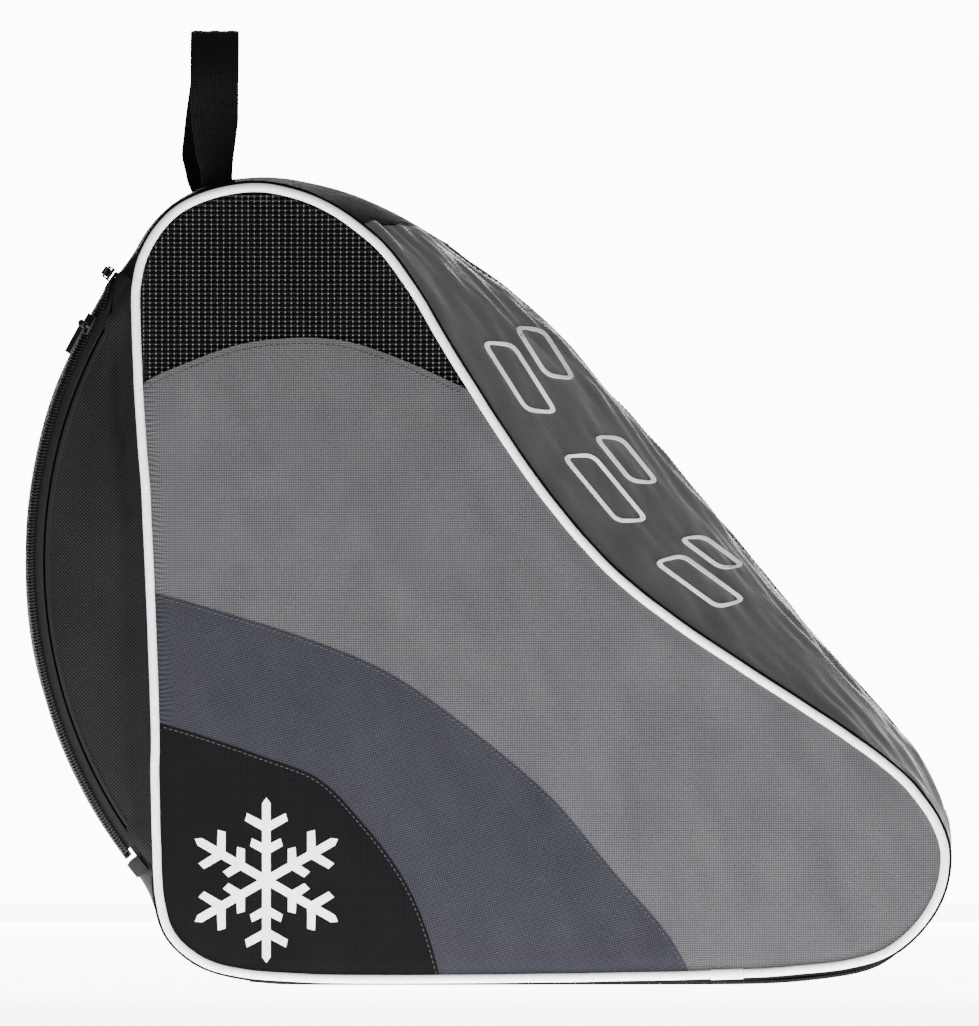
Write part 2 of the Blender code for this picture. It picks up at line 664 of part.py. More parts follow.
def zip_fittings():
    """Both sliders, and the tabs that end the zip beside the hinge."""
    reach = ZIP_CORNER + SLIDER_LENGTH / 2 + SLIDER_CLEAR
    angle = ZIP_TOP + reach / RADIUS
    body = slider("front", zip_frame((angle, -ZIP_Y, 0.0), -1), -1)
    move_origin(body, (CENTRE[0], 0, CENTRE[1]))
    y = reach - ZIP_Y
    slider("top", zip_frame((ZIP_TOP, y, math.pi / 2)), 1)
    for side, name in ((-1, "front"), (1, "rear")):
        first = HINGE + TAB_FROM_HINGE / RADIUS
        grids = []
        for lift in (GAP, GAP + TAB):
            grid = []
            for k in range(3):
                angle = first + TAB_LENGTH / RADIUS * k / 2
                grid.append([bulge(angle, side * (ZIP_Y + w), lift) for w in (-0.006, 0.0, 0.003)])
            grids.append(grid)
        shell(f"zip_end_tab_{name}", grids[1], grids[0], BLACK)
    grids = []
    edge = ZIP_Y - BINDING_INSET
    for lift in (GAP, GAP + BINDING):
        marks = (TAB_FROM_HINGE, (TAB_FROM_HINGE + BINDING_END) / 2, BINDING_END)
        spans = [bulge(HINGE + mark / RADIUS, 0.0, lift) for mark in marks]
        grids.append([[Vector((p.x, y, p.z)) for y in (-edge, edge)] for p in spans])
    shell("hinge_binding", grids[1], grids[0], BLACK)


# ---------------------------------------------------------------- handle
def handle():
    """Webbing loop that stands across the top, and the two tacked feet under it."""
    foot_y = HANDLE_SPAN / 2
    x, z = outline(HANDLE_AT)
    reach = WEBBING_WIDTH / 2
    for side, name in ((-1, "front"), (1, "rear")):
        span = reach * 0.96 / spacing(HANDLE_AT)
        grids = []
        for lift in (GAP + WEBBING, GAP):
            grid = []
            for k in range(4):
                u = HANDLE_AT - span + 2 * span * k / 3
                t = [(side * foot_y + w) / GUSSET_Y for w in (-FOOT_HALF, FOOT_HALF)]
                grid.append([gusset(u, s, lift) for s in t])
            grids.append(grid)
        shell(f"handle_foot_{name}", grids[0], grids[1], BLACK)
    base_top = gusset(HANDLE_AT, foot_y / GUSSET_Y, GAP + WEBBING)
    pivot = Vector((base_top.x, 0.0, base_top.z + reach + PIVOT_RISE))
    rise = HANDLE_TOP - pivot.z
    low = [(-foot_y, -d) for d in (reach * 0.985, reach * 0.85, reach * 0.55, 0.0)]
    turns = [math.pi / 2 * k / 7 for k in range(8)]
    bow = foot_y * ARCH_HEIGHT
    arch = [(-foot_y * math.cos(t), rise - bow + bow * math.sin(t)) for t in turns]
    left = low + arch
    path = left + [(-y, h) for y, h in left[-2::-1]]
    grids = ([], [])
    for k, (y, h) in enumerate(path):
        before, after = path[max(k - 1, 0)], path[min(k + 1, len(path) - 1)]
        step = Vector((after[0] - before[0], after[1] - before[1])).normalized()
        normal = Vector((0, -step.y, step.x))
        half = math.sqrt(reach ** 2 - h ** 2) if h < 0 else reach
        for grid, lift in zip(grids, (0.0, -WEBBING)):
            place = pivot + Vector((0, y, h)) + normal * lift
            grid.append([place + Vector((dx, 0, 0)) for dx in (-half, half)])
    loop = shell("handle_strap", grids[0], grids[1], BLACK)
    move_origin(loop, pivot)


def main():
    for thing in list(bpy.data.objects):
        bpy.data.objects.remove(thing)
    for side, name in ((-1, "front"), (1, "rear")):
        side_panels(side, name)
        piping(side, name)
    slope_panels()
    top_panel()
    heel_panel()
    base()
    bulge_sides()
    door()
    zip_parts()
    zip_fittings()
    handle()


main()
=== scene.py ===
# %% [markdown]
# # Skate bag
# A boot-shaped bag for a pair of skates. Two piped side panels carry a gusset all round: satin over the slope,
# nylon at the top, heel and base. A rounded door with a coil zip closes the heel side, and a webbing loop carries it.
# The measured frame gives every place and size, and this file only makes the pieces look like sewn fabric.

import json
import math

import bmesh
import bpy
import numpy as np
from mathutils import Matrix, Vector, noise
from mathutils.bvhtree import BVHTree

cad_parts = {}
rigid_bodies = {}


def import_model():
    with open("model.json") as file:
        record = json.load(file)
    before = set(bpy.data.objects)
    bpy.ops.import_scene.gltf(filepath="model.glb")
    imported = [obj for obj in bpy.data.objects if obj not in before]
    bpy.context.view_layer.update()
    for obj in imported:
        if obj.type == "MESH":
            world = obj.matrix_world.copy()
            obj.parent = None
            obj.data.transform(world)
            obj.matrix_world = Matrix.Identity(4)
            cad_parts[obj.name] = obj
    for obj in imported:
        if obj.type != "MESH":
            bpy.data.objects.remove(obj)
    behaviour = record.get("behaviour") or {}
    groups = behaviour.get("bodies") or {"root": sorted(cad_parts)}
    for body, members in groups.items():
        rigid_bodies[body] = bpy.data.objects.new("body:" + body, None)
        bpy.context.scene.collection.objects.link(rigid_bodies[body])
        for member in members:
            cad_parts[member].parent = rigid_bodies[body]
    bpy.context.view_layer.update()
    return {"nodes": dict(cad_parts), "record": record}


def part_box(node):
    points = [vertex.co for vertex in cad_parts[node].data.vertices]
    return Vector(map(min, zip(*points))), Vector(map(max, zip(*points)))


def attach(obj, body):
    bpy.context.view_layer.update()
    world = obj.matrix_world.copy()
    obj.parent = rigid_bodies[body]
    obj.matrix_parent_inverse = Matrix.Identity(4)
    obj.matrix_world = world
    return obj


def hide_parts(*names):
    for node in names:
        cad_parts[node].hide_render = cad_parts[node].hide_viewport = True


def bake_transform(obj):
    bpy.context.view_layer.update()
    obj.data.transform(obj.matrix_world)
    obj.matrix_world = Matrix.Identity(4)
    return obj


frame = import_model()
mm = 0.001
joints = {joint["name"]: joint for joint in frame["record"]["behaviour"]["joints"]}

# %% [markdown]
# ## Small helpers
# An operator acts on everything that is selected, so each step first deselects all and picks its own piece.
# A modifier is only a plan until it is applied, so a helper adds one, sets it and applies it at once.


# %% Pick a piece, and apply a modifier to it
def pick(piece):
    """Make a piece the only selected and active object."""
    if bpy.context.object and bpy.context.object.mode != "OBJECT":
        bpy.ops.object.mode_set(mode="OBJECT")
    bpy.ops.object.select_all(action="DESELECT")
    piece.select_set(True)
    bpy.context.view_layer.objects.active = piece
    return piece


def bake(piece, kind, **settings):
    """Add one modifier with its settings and apply it."""
    pick(piece)
    bpy.ops.object.modifier_add(type=kind)
    modifier = piece.modifiers[-1]
    for name, value in settings.items():
        setattr(modifier, name, value)
    bpy.ops.object.modifier_apply(modifier=modifier.name)


def smooth(piece, angle=40):
    """Shade round surfaces smooth and keep sharp edges."""
    pick(piece)
    bpy.ops.object.shade_smooth_by_angle(angle=math.radians(angle))
    return piece


def points_of(piece):
    """A piece's vertices as an array."""
    flat = np.empty(len(piece.data.vertices) * 3)
    piece.data.vertices.foreach_get("co", flat)
    return flat.reshape(-1, 3)


def set_points(piece, points):
    piece.data.vertices.foreach_set("co", np.asarray(points, float).ravel())
    piece.data.update()


def from_faces(name, points, faces):
    """New piece from points and faces."""
    mesh = bpy.data.meshes.new(name)
    mesh.from_pydata([tuple(p) for p in points], [], faces)
    piece = bpy.data.objects.new(name, mesh)
    bpy.context.collection.objects.link(piece)
    return piece


# %% [markdown]
# ## Copies of frame pieces
# The frame's sheets already have the right shape, but coarse facets. A copy is merged, its triangles become quads,
# its sharp rims get a crease, and Subdivision Surface rounds the rest. The creases hold the rims where they are.


# %% Copy a frame piece and refine it
def copy_node(node, name):
    """Merged copy of a frame piece, free of its parent."""
    source = frame["nodes"][node]
    piece = source.copy()
    piece.data = source.data.copy()
    piece.name = name
    piece.parent = None
    piece.matrix_world.identity()
    bpy.context.collection.objects.link(piece)
    piece.hide_viewport = piece.hide_render = False
    piece.hide_set(False)
    pick(piece)
    bpy.ops.object.mode_set(mode="EDIT")
    bpy.ops.mesh.select_all(action="SELECT")
    bpy.ops.mesh.remove_doubles(threshold=1e-6)
    bpy.ops.mesh.tris_convert_to_quads(face_threshold=math.radians(60), shape_threshold=math.radians(60))
    bpy.ops.object.mode_set(mode="OBJECT")
    return piece


def refine(node, name, levels, sharp=50):
    """Copy of a frame piece, subdivided, with its sharp rims held."""
    piece = copy_node(node, name)
    bpy.ops.object.mode_set(mode="EDIT")
    bpy.ops.mesh.select_all(action="DESELECT")
    bpy.ops.mesh.select_mode(type="EDGE")
    bpy.ops.mesh.edges_select_sharp(sharpness=math.radians(sharp))
    bpy.ops.transform.edge_crease(value=1.0)
    bpy.ops.object.mode_set(mode="OBJECT")
    bake(piece, "SUBSURF", levels=levels, render_levels=levels)
    return smooth(piece, 50)


def settle(piece, body, slot, material, *nodes):
    """Give a finished piece its body and material, and let it stand for its frame pieces. The slot is not used."""
    piece.data.materials.clear()
    piece.data.materials.append(material)
    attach(piece, body)
    if nodes:
        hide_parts(*nodes)
    return piece


# %% [markdown]
# ## Materials: one helper for nodes, one for colours
# Colours are written as they look on a screen, and the shader wants linear light, so one function converts them.


# %% Colour and node helpers
def linear(code):
    """Linear colour of an sRGB hex value."""
    parts = [int(code[i:i + 2], 16) / 255 for i in (1, 3, 5)]
    return [c / 12.92 if c <= 0.04045 else ((c + 0.055) / 1.055) ** 2.4 for c in parts] + [1.0]


def node(tree, kind, settings=None, **inputs):
    """Add a node, set its properties, and set or link its inputs."""
    made = tree.nodes.new(kind)
    for name, value in (settings or {}).items():
        setattr(made, name, value)
    for name, value in inputs.items():
        key = int(name[1:]) if name[0] == "i" and name[1:].isdigit() else name.replace("_", " ")
        if isinstance(value, bpy.types.NodeSocket):
            tree.links.new(value, made.inputs[key])
        else:
            made.inputs[key].default_value = value
    return made


def new_material(name, roughness, metallic=0.0, **shader_values):
    """Principled material with its fixed numbers on the shader's own sockets."""
    material = bpy.data.materials.new(name)
    material.use_nodes = True
    tree = material.node_tree
    shader = tree.nodes["Principled BSDF"]
    shader.inputs["Roughness"].default_value = roughness
    shader.inputs["Metallic"].default_value = metallic
    for key, value in shader_values.items():
        shader.inputs[key.replace("_", " ")].default_value = value
    return material, tree, shader


def ramp(tree, factor, *stops):
    """Colour ramp between (position, hex) stops."""
    made = node(tree, "ShaderNodeValToRGB", Fac=factor)
    while len(made.color_ramp.elements) < len(stops):
        made.color_ramp.elements.new(0.5)
    for element, (place, code) in zip(made.color_ramp.elements, stops):
        element.position = place
        element.color = linear(code)
    return made.outputs["Color"]


# %% [markdown]
# ## Woven cloth
# Every cloth here is a weave of thread over thread. Two sets of waves stand for the two sets of threads, and where
# they cross the brighter one lies on top. The colour follows the waves: painted shade in the gaps, painted highlight
# on the thread tops. A UV map measured in metres along each sheet keeps the threads straight.
# 600-denier polyester has about ten threads in a centimetre, so the thread pitch is 1 mm.


# %% Weave node pattern
def weave(tree, place, pitch_x, pitch_y, turn=0.0):
    """Height of a plain weave: 0 in the gaps, 1 on top of a thread."""
    mapped = node(tree, "ShaderNodeMapping", Vector=place, Rotation=(0, 0, turn)).outputs["Vector"]
    axes = node(tree, "ShaderNodeSeparateXYZ", Vector=mapped)
    tops = []
    for axis, pitch in (("X", pitch_x), ("Y", pitch_y)):
        turns = node(tree, "ShaderNodeMath", {"operation": "MULTIPLY"}, i0=axes.outputs[axis], i1=math.pi / pitch)
        wave = node(tree, "ShaderNodeMath", {"operation": "SINE"}, i0=turns.outputs[0])
        tops.append(node(tree, "ShaderNodeMath", {"operation": "ABSOLUTE"}, i0=wave.outputs[0]).outputs[0])
    return node(tree, "ShaderNodeMath", {"operation": "MULTIPLY"}, i0=tops[0], i1=tops[1]).outputs[0]


def sine(tree, value, turns_per_metre):
    scaled = node(tree, "ShaderNodeMath", {"operation": "MULTIPLY"}, i0=value, i1=turns_per_metre * 2 * math.pi)
    return node(tree, "ShaderNodeMath", {"operation": "SINE"}, i0=scaled.outputs[0]).outputs[0]


def pucker(tree, height):
    """Short ripples that the sewing pulls into the cloth beside the heel-side piping; they also shift the colour, as
    painted highlight on their crests and painted shade in their troughs.
    """
    place = node(tree, "ShaderNodeUVMap", {"uv_map": "pucker"}).outputs["UV"]
    axes = node(tree, "ShaderNodeSeparateXYZ", Vector=place)
    fade = node(tree, "ShaderNodeMapRange", Value=axes.outputs["X"], From_Min=2 * mm, From_Max=11 * mm, To_Min=1.0,
                To_Max=0.0).outputs["Result"]
    jitter = node(tree, "ShaderNodeTexNoise", Vector=place, Scale=60.0, Detail=1.0).outputs["Fac"]
    row = node(tree, "ShaderNodeMath", {"operation": "MULTIPLY_ADD"}, i0=jitter, i1=6 * mm, i2=axes.outputs["Y"])
    ripple = sine(tree, row.outputs[0], 1 / (2.4 * mm))
    ripple = node(tree, "ShaderNodeMath", {"operation": "MULTIPLY"}, i0=ripple, i1=fade).outputs[0]
    return node(tree, "ShaderNodeMath", {"operation": "MULTIPLY_ADD"}, i0=ripple, i1=0.55, i2=height).outputs[0]


def cloth(name, dark, light, pitch=1.0 * mm, roughness=0.85, bump=0.35, turn=0.0, mottle=0.35, puckered=False,
          **shader_values):
    """Woven cloth whose colour runs from painted shade in its gaps to painted highlight on its thread tops."""
    shader_values.setdefault("IOR", 1.08)
    material, tree, shader = new_material(name, roughness, **shader_values)
    place = node(tree, "ShaderNodeUVMap", {"uv_map": "cut"}).outputs["UV"]
    thread = weave(tree, place, pitch, pitch, turn)
    patch = node(tree, "ShaderNodeTexNoise", Vector=place, Scale=28.0, Detail=3.0).outputs["Fac"]
    slub = node(tree, "ShaderNodeTexNoise", Vector=place, Scale=700.0, Detail=2.0).outputs["Fac"]
    mixed = node(tree, "ShaderNodeMath", {"operation": "MULTIPLY_ADD"}, i0=patch, i1=mottle, i2=thread).outputs[0]
    mixed = node(tree, "ShaderNodeMath", {"operation": "MULTIPLY_ADD"}, i0=slub, i1=0.3, i2=mixed).outputs[0]
    # The pucker ripples enter the colour too: painted highlight and painted shade on the ripples.
    mixed = pucker(tree, mixed) if puckered else mixed
    scaled = node(tree, "ShaderNodeMath", {"operation": "MULTIPLY"}, i0=mixed, i1=1 / (1.3 + mottle))
    # Dark stop: painted shade in the gaps. Light stop: painted highlight on the thread tops.
    colour = ramp(tree, scaled.outputs[0], (0.1, dark), (0.85, light))
    tree.links.new(colour, shader.inputs["Base Color"])
    height = node(tree, "ShaderNodeBump", Height=mixed, Strength=bump, Distance=0.3 * mm)
    tree.links.new(height.outputs["Normal"], shader.inputs["Normal"])
    return material


# %% The bag's cloths
# Solution-dyed 600-denier polyester: matt, with a clear basket of threads.
grey_polyester = cloth("grey_600d_polyester", "#2b2b2d", "#515153", 1.2 * mm, bump=0.8, puckered=True)
slate_polyester = cloth("slate_600d_polyester", "#18181c", "#333339", 1.2 * mm, bump=0.8, turn=-0.26, puckered=True)
# Black 600-denier nylon in a crossed twill: fine diagonal threads that catch the light, their tops painted lighter as
# painted highlight.
black_nylon = cloth("black_600d_nylon_twill", "#010101", "#262628", 1.3 * mm, roughness=0.6, bump=0.9, turn=0.785)
corner_nylon = cloth("corner_black_nylon", "#060607", "#141415", 1.2 * mm, roughness=0.8, bump=0.5)
# Satin nylon: long floats that lie flat, so light runs along them in streaks.
satin_nylon = cloth("charcoal_satin_nylon", "#171719", "#444446", 0.9 * mm, roughness=0.36, bump=0.4,
                    mottle=0.9, IOR=1.33, Sheen_Weight=0.16)
lining_cloth = cloth("black_lining_cloth", "#060607", "#121213", 0.8 * mm)
webbing = cloth("black_polypropylene_webbing", "#030303", "#1c1c1c", 1.3 * mm, roughness=0.6, bump=0.8)
binding_cloth = cloth("black_binding_tape", "#0a0a0b", "#262627", 0.7 * mm, turn=0.6)


# %% [markdown]
# ## Plain finishes
# The piping is a plastic-coated cord, the vent is knitted from coated yarn, the zip is nylon coil with a lacquered
# metal slider, and the prints are a white ink laid on the cloth.


# %% Finishes that aren't woven
def plain(name, colour, roughness, metallic=0.0, grain=900.0, depth=0.06, **shader_values):
    """Moulded or coated finish with a fine grain in its colour and surface."""
    shader_values.setdefault("Specular_IOR_Level", 0.35)
    material, tree, shader = new_material(name, roughness, metallic, **shader_values)
    place = node(tree, "ShaderNodeTexCoord").outputs["Object"]
    fine = node(tree, "ShaderNodeTexNoise", Vector=place, Scale=grain, Detail=3.0).outputs["Fac"]
    shade = "#%02x%02x%02x" % tuple(int(int(colour[i:i + 2], 16) * 0.88) for i in (1, 3, 5))
    tree.links.new(ramp(tree, fine, (0.25, shade), (0.75, colour)), shader.inputs["Base Color"])
    relief = node(tree, "ShaderNodeBump", Height=fine, Strength=depth * 5, Distance=0.1 * mm)
    tree.links.new(relief.outputs["Normal"], shader.inputs["Normal"])
    return material


seam_binding = plain("black_seam_binding", "#101011", 0.85, grain=700.0, IOR=1.05)
white_piping = plain("white_coated_piping", "#e9ecea", 0.42, grain=350.0)
vent_yarn = plain("black_coated_vent_yarn", "#212123", 0.25, grain=500.0, Specular_IOR_Level=0.6)
white_ink = plain("white_print_ink", "#e4e9e9", 0.5, grain=600.0)
coil_nylon = plain("black_nylon_coil", "#141415", 0.5, IOR=1.2)
slider_lacquer = plain("black_lacquered_zinc", "#1b1b1c", 0.28, 0.6)
grey_thread = plain("grey_bonded_thread", "#232326", 0.6)
slate_thread = plain("slate_bonded_thread", "#1c1c22", 0.6)
black_thread = plain("black_bonded_thread", "#131314", 0.5)

# %% [markdown]
# ## The side's outline
# The lining piece in the frame is the side's outline, drawn in by a fixed amount. Its ordered rim gives the
# piping's line again, and a smooth curve through those points makes it round.


# %% Read ordered rims from the frame
def rim_of(node_name):
    """Ordered (x, z) rim of a flat frame piece."""
    piece = copy_node(node_name, "rim")
    mesh = bmesh.new()
    mesh.from_mesh(piece.data)
    bmesh.ops.dissolve_limit(mesh, angle_limit=0.01, verts=mesh.verts[:], edges=mesh.edges[:])
    face = max(mesh.faces, key=lambda f: f.calc_area())
    rim = np.array([(v.co.x, v.co.z) for v in face.verts])
    mesh.free()
    bpy.data.objects.remove(piece)
    turn = np.sum(rim[:, 0] * np.roll(rim[:, 1], -1) - np.roll(rim[:, 0], -1) * rim[:, 1])
    return rim if turn > 0 else rim[::-1]


def curve_through(points, per_span, closed=True):
    """Smooth curve through ordered points (Catmull-Rom)."""
    count = len(points)
    last = count if closed else count - 1
    made = []
    for k in range(last):
        if closed:
            a, b, c, d = (points[(k + j) % count] for j in (-1, 0, 1, 2))
        else:
            a, b, c, d = (points[min(max(k + j, 0), count - 1)] for j in (-1, 0, 1, 2))
        for t in np.arange(per_span) / per_span:
            made.append(0.5 * (2 * b + (c - a) * t + (2 * a - 5 * b + 4 * c - d) * t * t
                               + (3 * b - a - 3 * c + d) * t ** 3))
    if not closed:
        made.append(points[-1])
    return np.array(made)


lining_inset = 4.7 * mm
lining_rim = rim_of("side_lining_front")
steps = np.roll(lining_rim, -1, 0) - np.roll(lining_rim, 1, 0)
steps /= np.linalg.norm(steps, axis=1, keepdims=True)
outline = curve_through(lining_rim + np.stack([steps[:, 1], -steps[:, 0]], 1) * lining_inset, 8)
# The line starts halfway up the heel side, where no gusset cloth crosses its start.
outline = np.roll(outline, -int(np.argmin(np.hypot(outline[:, 0] + 0.18, outline[:, 1] - 0.21))), 0)
print("outline points", len(outline), "length", round(np.linalg.norm(outline - np.roll(outline, 1, 0), axis=1).sum(), 3))


def drawn_in(amount):
    """Outline drawn in by an amount."""
    heading = np.roll(outline, -1, 0) - np.roll(outline, 1, 0)
    heading /= np.linalg.norm(heading, axis=1, keepdims=True)
    return outline - np.stack([heading[:, 1], -heading[:, 0]], 1) * amount


def distance_to(line, points, closed):
    """Distance of each (x, z) point to a polyline."""
    ends = np.roll(line, -1, 0) if closed else line[1:]
    starts = line if closed else line[:-1]
    best = np.full(len(points), 9.0)
    for a, b in zip(starts, ends):
        step = b - a
        share = np.clip(((points - a) @ step) / max(step @ step, 1e-12), 0, 1)
        best = np.minimum(best, np.linalg.norm(points - a - share[:, None] * step, axis=1))
    return best


# %% [markdown]
# ## How the side swells
# A filled side panel stands proud in its middle and dips to the piping, with soft upright folds. Cloth simulation
# gives that: one sheet with a little extra width is pinned along the outline and pushed out by a slight pressure.
# Its heights are then read as one relief, which the panels, prints and stitches all share.

# %% Simulate one sheet and read its heights
swell_height = 7.5 * mm
sheet_pitch = 5 * mm
groove_depth = 1.1 * mm  # the seam pulls the cloth in beside the piping
side_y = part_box("side_panel_front")[0].y
sheet_low = outline.min(0) - 10 * mm
sheet_count = np.ceil((outline.max(0) + 10 * mm - sheet_low) / sheet_pitch).astype(int) + 1


def first_folds(x, z, side):
    """Small upright waves that give the sheet its extra width."""
    broad = noise.noise(Vector((x * 42, side * 3.1, z * 9)))
    narrow = noise.noise(Vector((x * 90 + z * 25, side * 7.3, z * 25)))
    return 5.0 * mm * broad + 1.6 * mm * narrow


def swollen_heights(side):
    """Grid of heights of one simulated side sheet, scaled to the swell height."""
    nx, nz = sheet_count
    points, faces = [], []
    for i in range(nx):
        for j in range(nz):
            points.append(tuple(sheet_low + np.array([i, j]) * sheet_pitch))
    points = np.array(points)
    reach = distance_to(outline, points, True)
    held = (reach < 4 * mm) | ~in_loop(outline, points)
    folds = np.array([first_folds(x, z, side) for x, z in points])
    start = np.where(held, 0.0, folds * np.clip(reach / (30 * mm), 0, 1))
    for i in range(nx - 1):
        for j in range(nz - 1):
            k = i * nz + j
            faces.append((k, k + nz, k + nz + 1, k + 1))
    sheet = from_faces("side_sheet", np.stack([points[:, 0], -start, points[:, 1]], 1), faces)
    group = sheet.vertex_groups.new(name="sewn")
    group.add([int(k) for k in np.nonzero(held)[0]], 1.0, "REPLACE")
    pick(sheet)
    bpy.ops.object.modifier_add(type="CLOTH")
    modifier = sheet.modifiers[-1]
    modifier.settings.quality = 5
    modifier.settings.mass = 0.25
    modifier.settings.tension_stiffness = modifier.settings.compression_stiffness = 12
    modifier.settings.bending_stiffness = 1.2
    modifier.settings.use_pressure = True
    modifier.settings.uniform_pressure_force = 1.6
    modifier.settings.vertex_group_mass = "sewn"
    modifier.settings.effector_weights.gravity = 0
    modifier.point_cache.frame_start, modifier.point_cache.frame_end = 1, 24
    for step in range(1, 25):
        bpy.context.scene.frame_set(step)
    bpy.ops.object.modifier_apply(modifier=modifier.name)
    bpy.context.scene.frame_set(1)
    heights = -points_of(sheet)[:, 1]
    bpy.data.objects.remove(sheet)
    print("simulated side", side, "heights", round(float(heights.min()), 4), round(float(heights.max()), 4))
    heights = heights / heights.max() * swell_height
    return np.where(held, 0.0, heights).reshape(nx, nz)


def in_loop(loop, points):
    """Which (x, z) points lie inside a closed loop."""
    inside = np.zeros(len(points), bool)
    for (x0, z0), (x1, z1) in zip(loop, np.roll(loop, -1, 0)):
        if z0 == z1:
            continue
        crosses = (z0 > points[:, 1]) != (z1 > points[:, 1])
        inside ^= crosses & (points[:, 0] < x0 + (points[:, 1] - z0) / (z1 - z0) * (x1 - x0))
    return inside


swollen = {side: swollen_heights(side) for side in (-1, 1)}


def cubic(t):
    """Four Catmull-Rom weights."""
    return np.stack([-t ** 3 + 2 * t * t - t, 3 * t ** 3 - 5 * t * t + 2, -3 * t ** 3 + 4 * t * t + t, t ** 3 - t * t]) / 2


def relief(points, side):
    """How far the side stands out at (x, z) points."""
    place = (np.asarray(points) - sheet_low) / sheet_pitch
    place = np.clip(place, 1, sheet_count - 3)
    cell = place.astype(int)
    share = place - cell
    wx, wz = cubic(share[:, 0]), cubic(share[:, 1])
    total = np.zeros(len(place))
    for a in range(4):
        for b in range(4):
            total += wx[a] * wz[b] * swollen[side][cell[:, 0] + a - 1, cell[:, 1] + b - 1]
    reach = distance_to(outline, np.asarray(points), True)
    return total - groove_depth * np.exp(-((reach - 2.6 * mm) / (2.6 * mm)) ** 2)


def lay_on_side(piece, side, lift):
    """Move a flat piece out onto the side's relief."""
    points = points_of(piece)
    points[:, 1] += side * (relief(points[:, [0, 2]], side) + lift)
    set_points(piece, points)


# %% [markdown]
# ## Side panels
# Each side is sewn from an open mesh vent, a grey panel, a slate band and a black corner, each lapped over the one
# above. A fine grid is cut with the outline and the seams, so every piece has an even mesh to bend.


# %% Cutters and cut panels
seam_names = ["side_mesh", "side_panel", "side_band", "side_corner"]


def seam_between(upper, lower):
    """Seam line between two side pieces, from heel to slope, run on past both ends."""
    low_rim, high_rim = rim_of(lower + "_front"), rim_of(upper + "_front")
    near = low_rim[distance_to(high_rim, low_rim, True) < 0.5 * mm]
    near = near[np.argsort(near[:, 0])]
    line = curve_through(near, 6, False)
    first, last = line[0] - line[1], line[-1] - line[-2]
    head = line[0] + first / np.linalg.norm(first) * 12 * mm
    tail = line[-1] + last / np.linalg.norm(last) * 12 * mm
    return np.vstack([head, line, tail])


seams = [seam_between(a, b) for a, b in zip(seam_names, seam_names[1:])]
print("seams", [len(s) for s in seams])


def prism(name, loop, low, high):
    """Closed prism over an (x, z) loop between two values of y."""
    count = len(loop)
    points = [(x, low, z) for x, z in loop] + [(x, high, z) for x, z in loop]
    faces = [list(range(count)), list(range(2 * count - 1, count - 1, -1))]
    faces += [(k + count, (k + 1) % count + count, (k + 1) % count, k) for k in range(count)]
    piece = from_faces(name, points, faces)
    pick(piece)
    bpy.ops.object.mode_set(mode="EDIT")
    bpy.ops.mesh.select_all(action="SELECT")
    bpy.ops.mesh.normals_make_consistent(inside=False)
    bpy.ops.object.mode_set(mode="OBJECT")
    return piece


def keep_inside(piece, cutter):
    """Keep the part of a piece inside a cutter, and remove the cutter."""
    bake(piece, "BOOLEAN", operation="INTERSECT", object=cutter, solver="EXACT")
    bpy.data.objects.remove(cutter)


def slab(name, side, low, high, pitch, thickness):
    """Dense flat slab in the side's plane, over a box of (x, z)."""
    size = np.array(high) - np.array(low)
    centre = (np.array(high) + np.array(low)) / 2
    bpy.ops.object.select_all(action="DESELECT")
    bpy.ops.mesh.primitive_grid_add(
        x_subdivisions=max(int(size[0] / pitch), 2), y_subdivisions=max(int(size[1] / pitch), 2), size=1.0)
    piece = bpy.context.object
    piece.name = name
    points = points_of(piece)
    y = side * (abs(side_y) - 0.3 * mm)
    flat = np.stack([centre[0] + points[:, 0] * size[0], np.full(len(points), y), centre[1] + points[:, 1] * size[1]], 1)
    set_points(piece, flat)
    if side > 0:
        piece.data.flip_normals()
    bake(piece, "SOLIDIFY", thickness=thickness, offset=-1.0)
    return piece


def band_loop(k):
    """Loop round the part of the side between seam k - 1 above and seam k below."""
    top = outline[:, 1].max() + 20 * mm
    low = outline[:, 1].min() - 20 * mm
    left, right = outline[:, 0].min() - 20 * mm, outline[:, 0].max() + 20 * mm
    upper = seams[k - 1] if k > 0 else np.array([(left, top), (right, top)])
    if k == 0:
        under = seams[0][::-1]
        return np.vstack([[(left, top), (right, top), (right, under[0][1])], under, [(left, under[-1][1])]])
    head = [(left, upper[0][1])]
    if k < len(seams):
        under = seams[k][::-1]
        side = [] if k == 0 else [(right, upper[-1][1])]
        loop = head + list(upper) + side + [(right, low), (under[0][0], low)] + list(under) + [(left, under[-1][1])]
        if upper[-1][1] < 0:
            loop = head + list(upper) + [(upper[-1][0], low), (under[0][0], low)] + list(under) + [(left, under[-1][1])]
        return np.array(loop)
    return np.array(head + list(upper) + [(upper[-1][0], low), (left, low)])


def add_cut_map(piece, along="XZ"):
    """UV map in metres, laid flat as the cloth was cut."""
    mesh = piece.data
    layer = mesh.uv_layers.new(name="cut")
    pick_axes = [("XYZ").index(c) for c in along]
    points = points_of(piece)
    corners = np.empty(len(mesh.loops), int)
    mesh.loops.foreach_get("vertex_index", corners)
    layer.data.foreach_set("uv", points[corners][:, pick_axes].ravel())


def add_pucker_map(piece):
    """Second UV map in metres: distance from the heel-side piping, and height."""
    heel = outline[(outline[:, 0] < -0.15) & (outline[:, 1] > 0.03)]
    heel = heel[np.argsort(heel[:, 1])]
    points = points_of(piece)
    away = distance_to(heel, points[:, [0, 2]], False)
    corners = np.empty(len(piece.data.loops), int)
    piece.data.loops.foreach_get("vertex_index", corners)
    layer = piece.data.uv_layers.new(name="pucker")
    layer.data.foreach_set("uv", np.stack([away, points[:, 2]], 1)[corners].ravel())


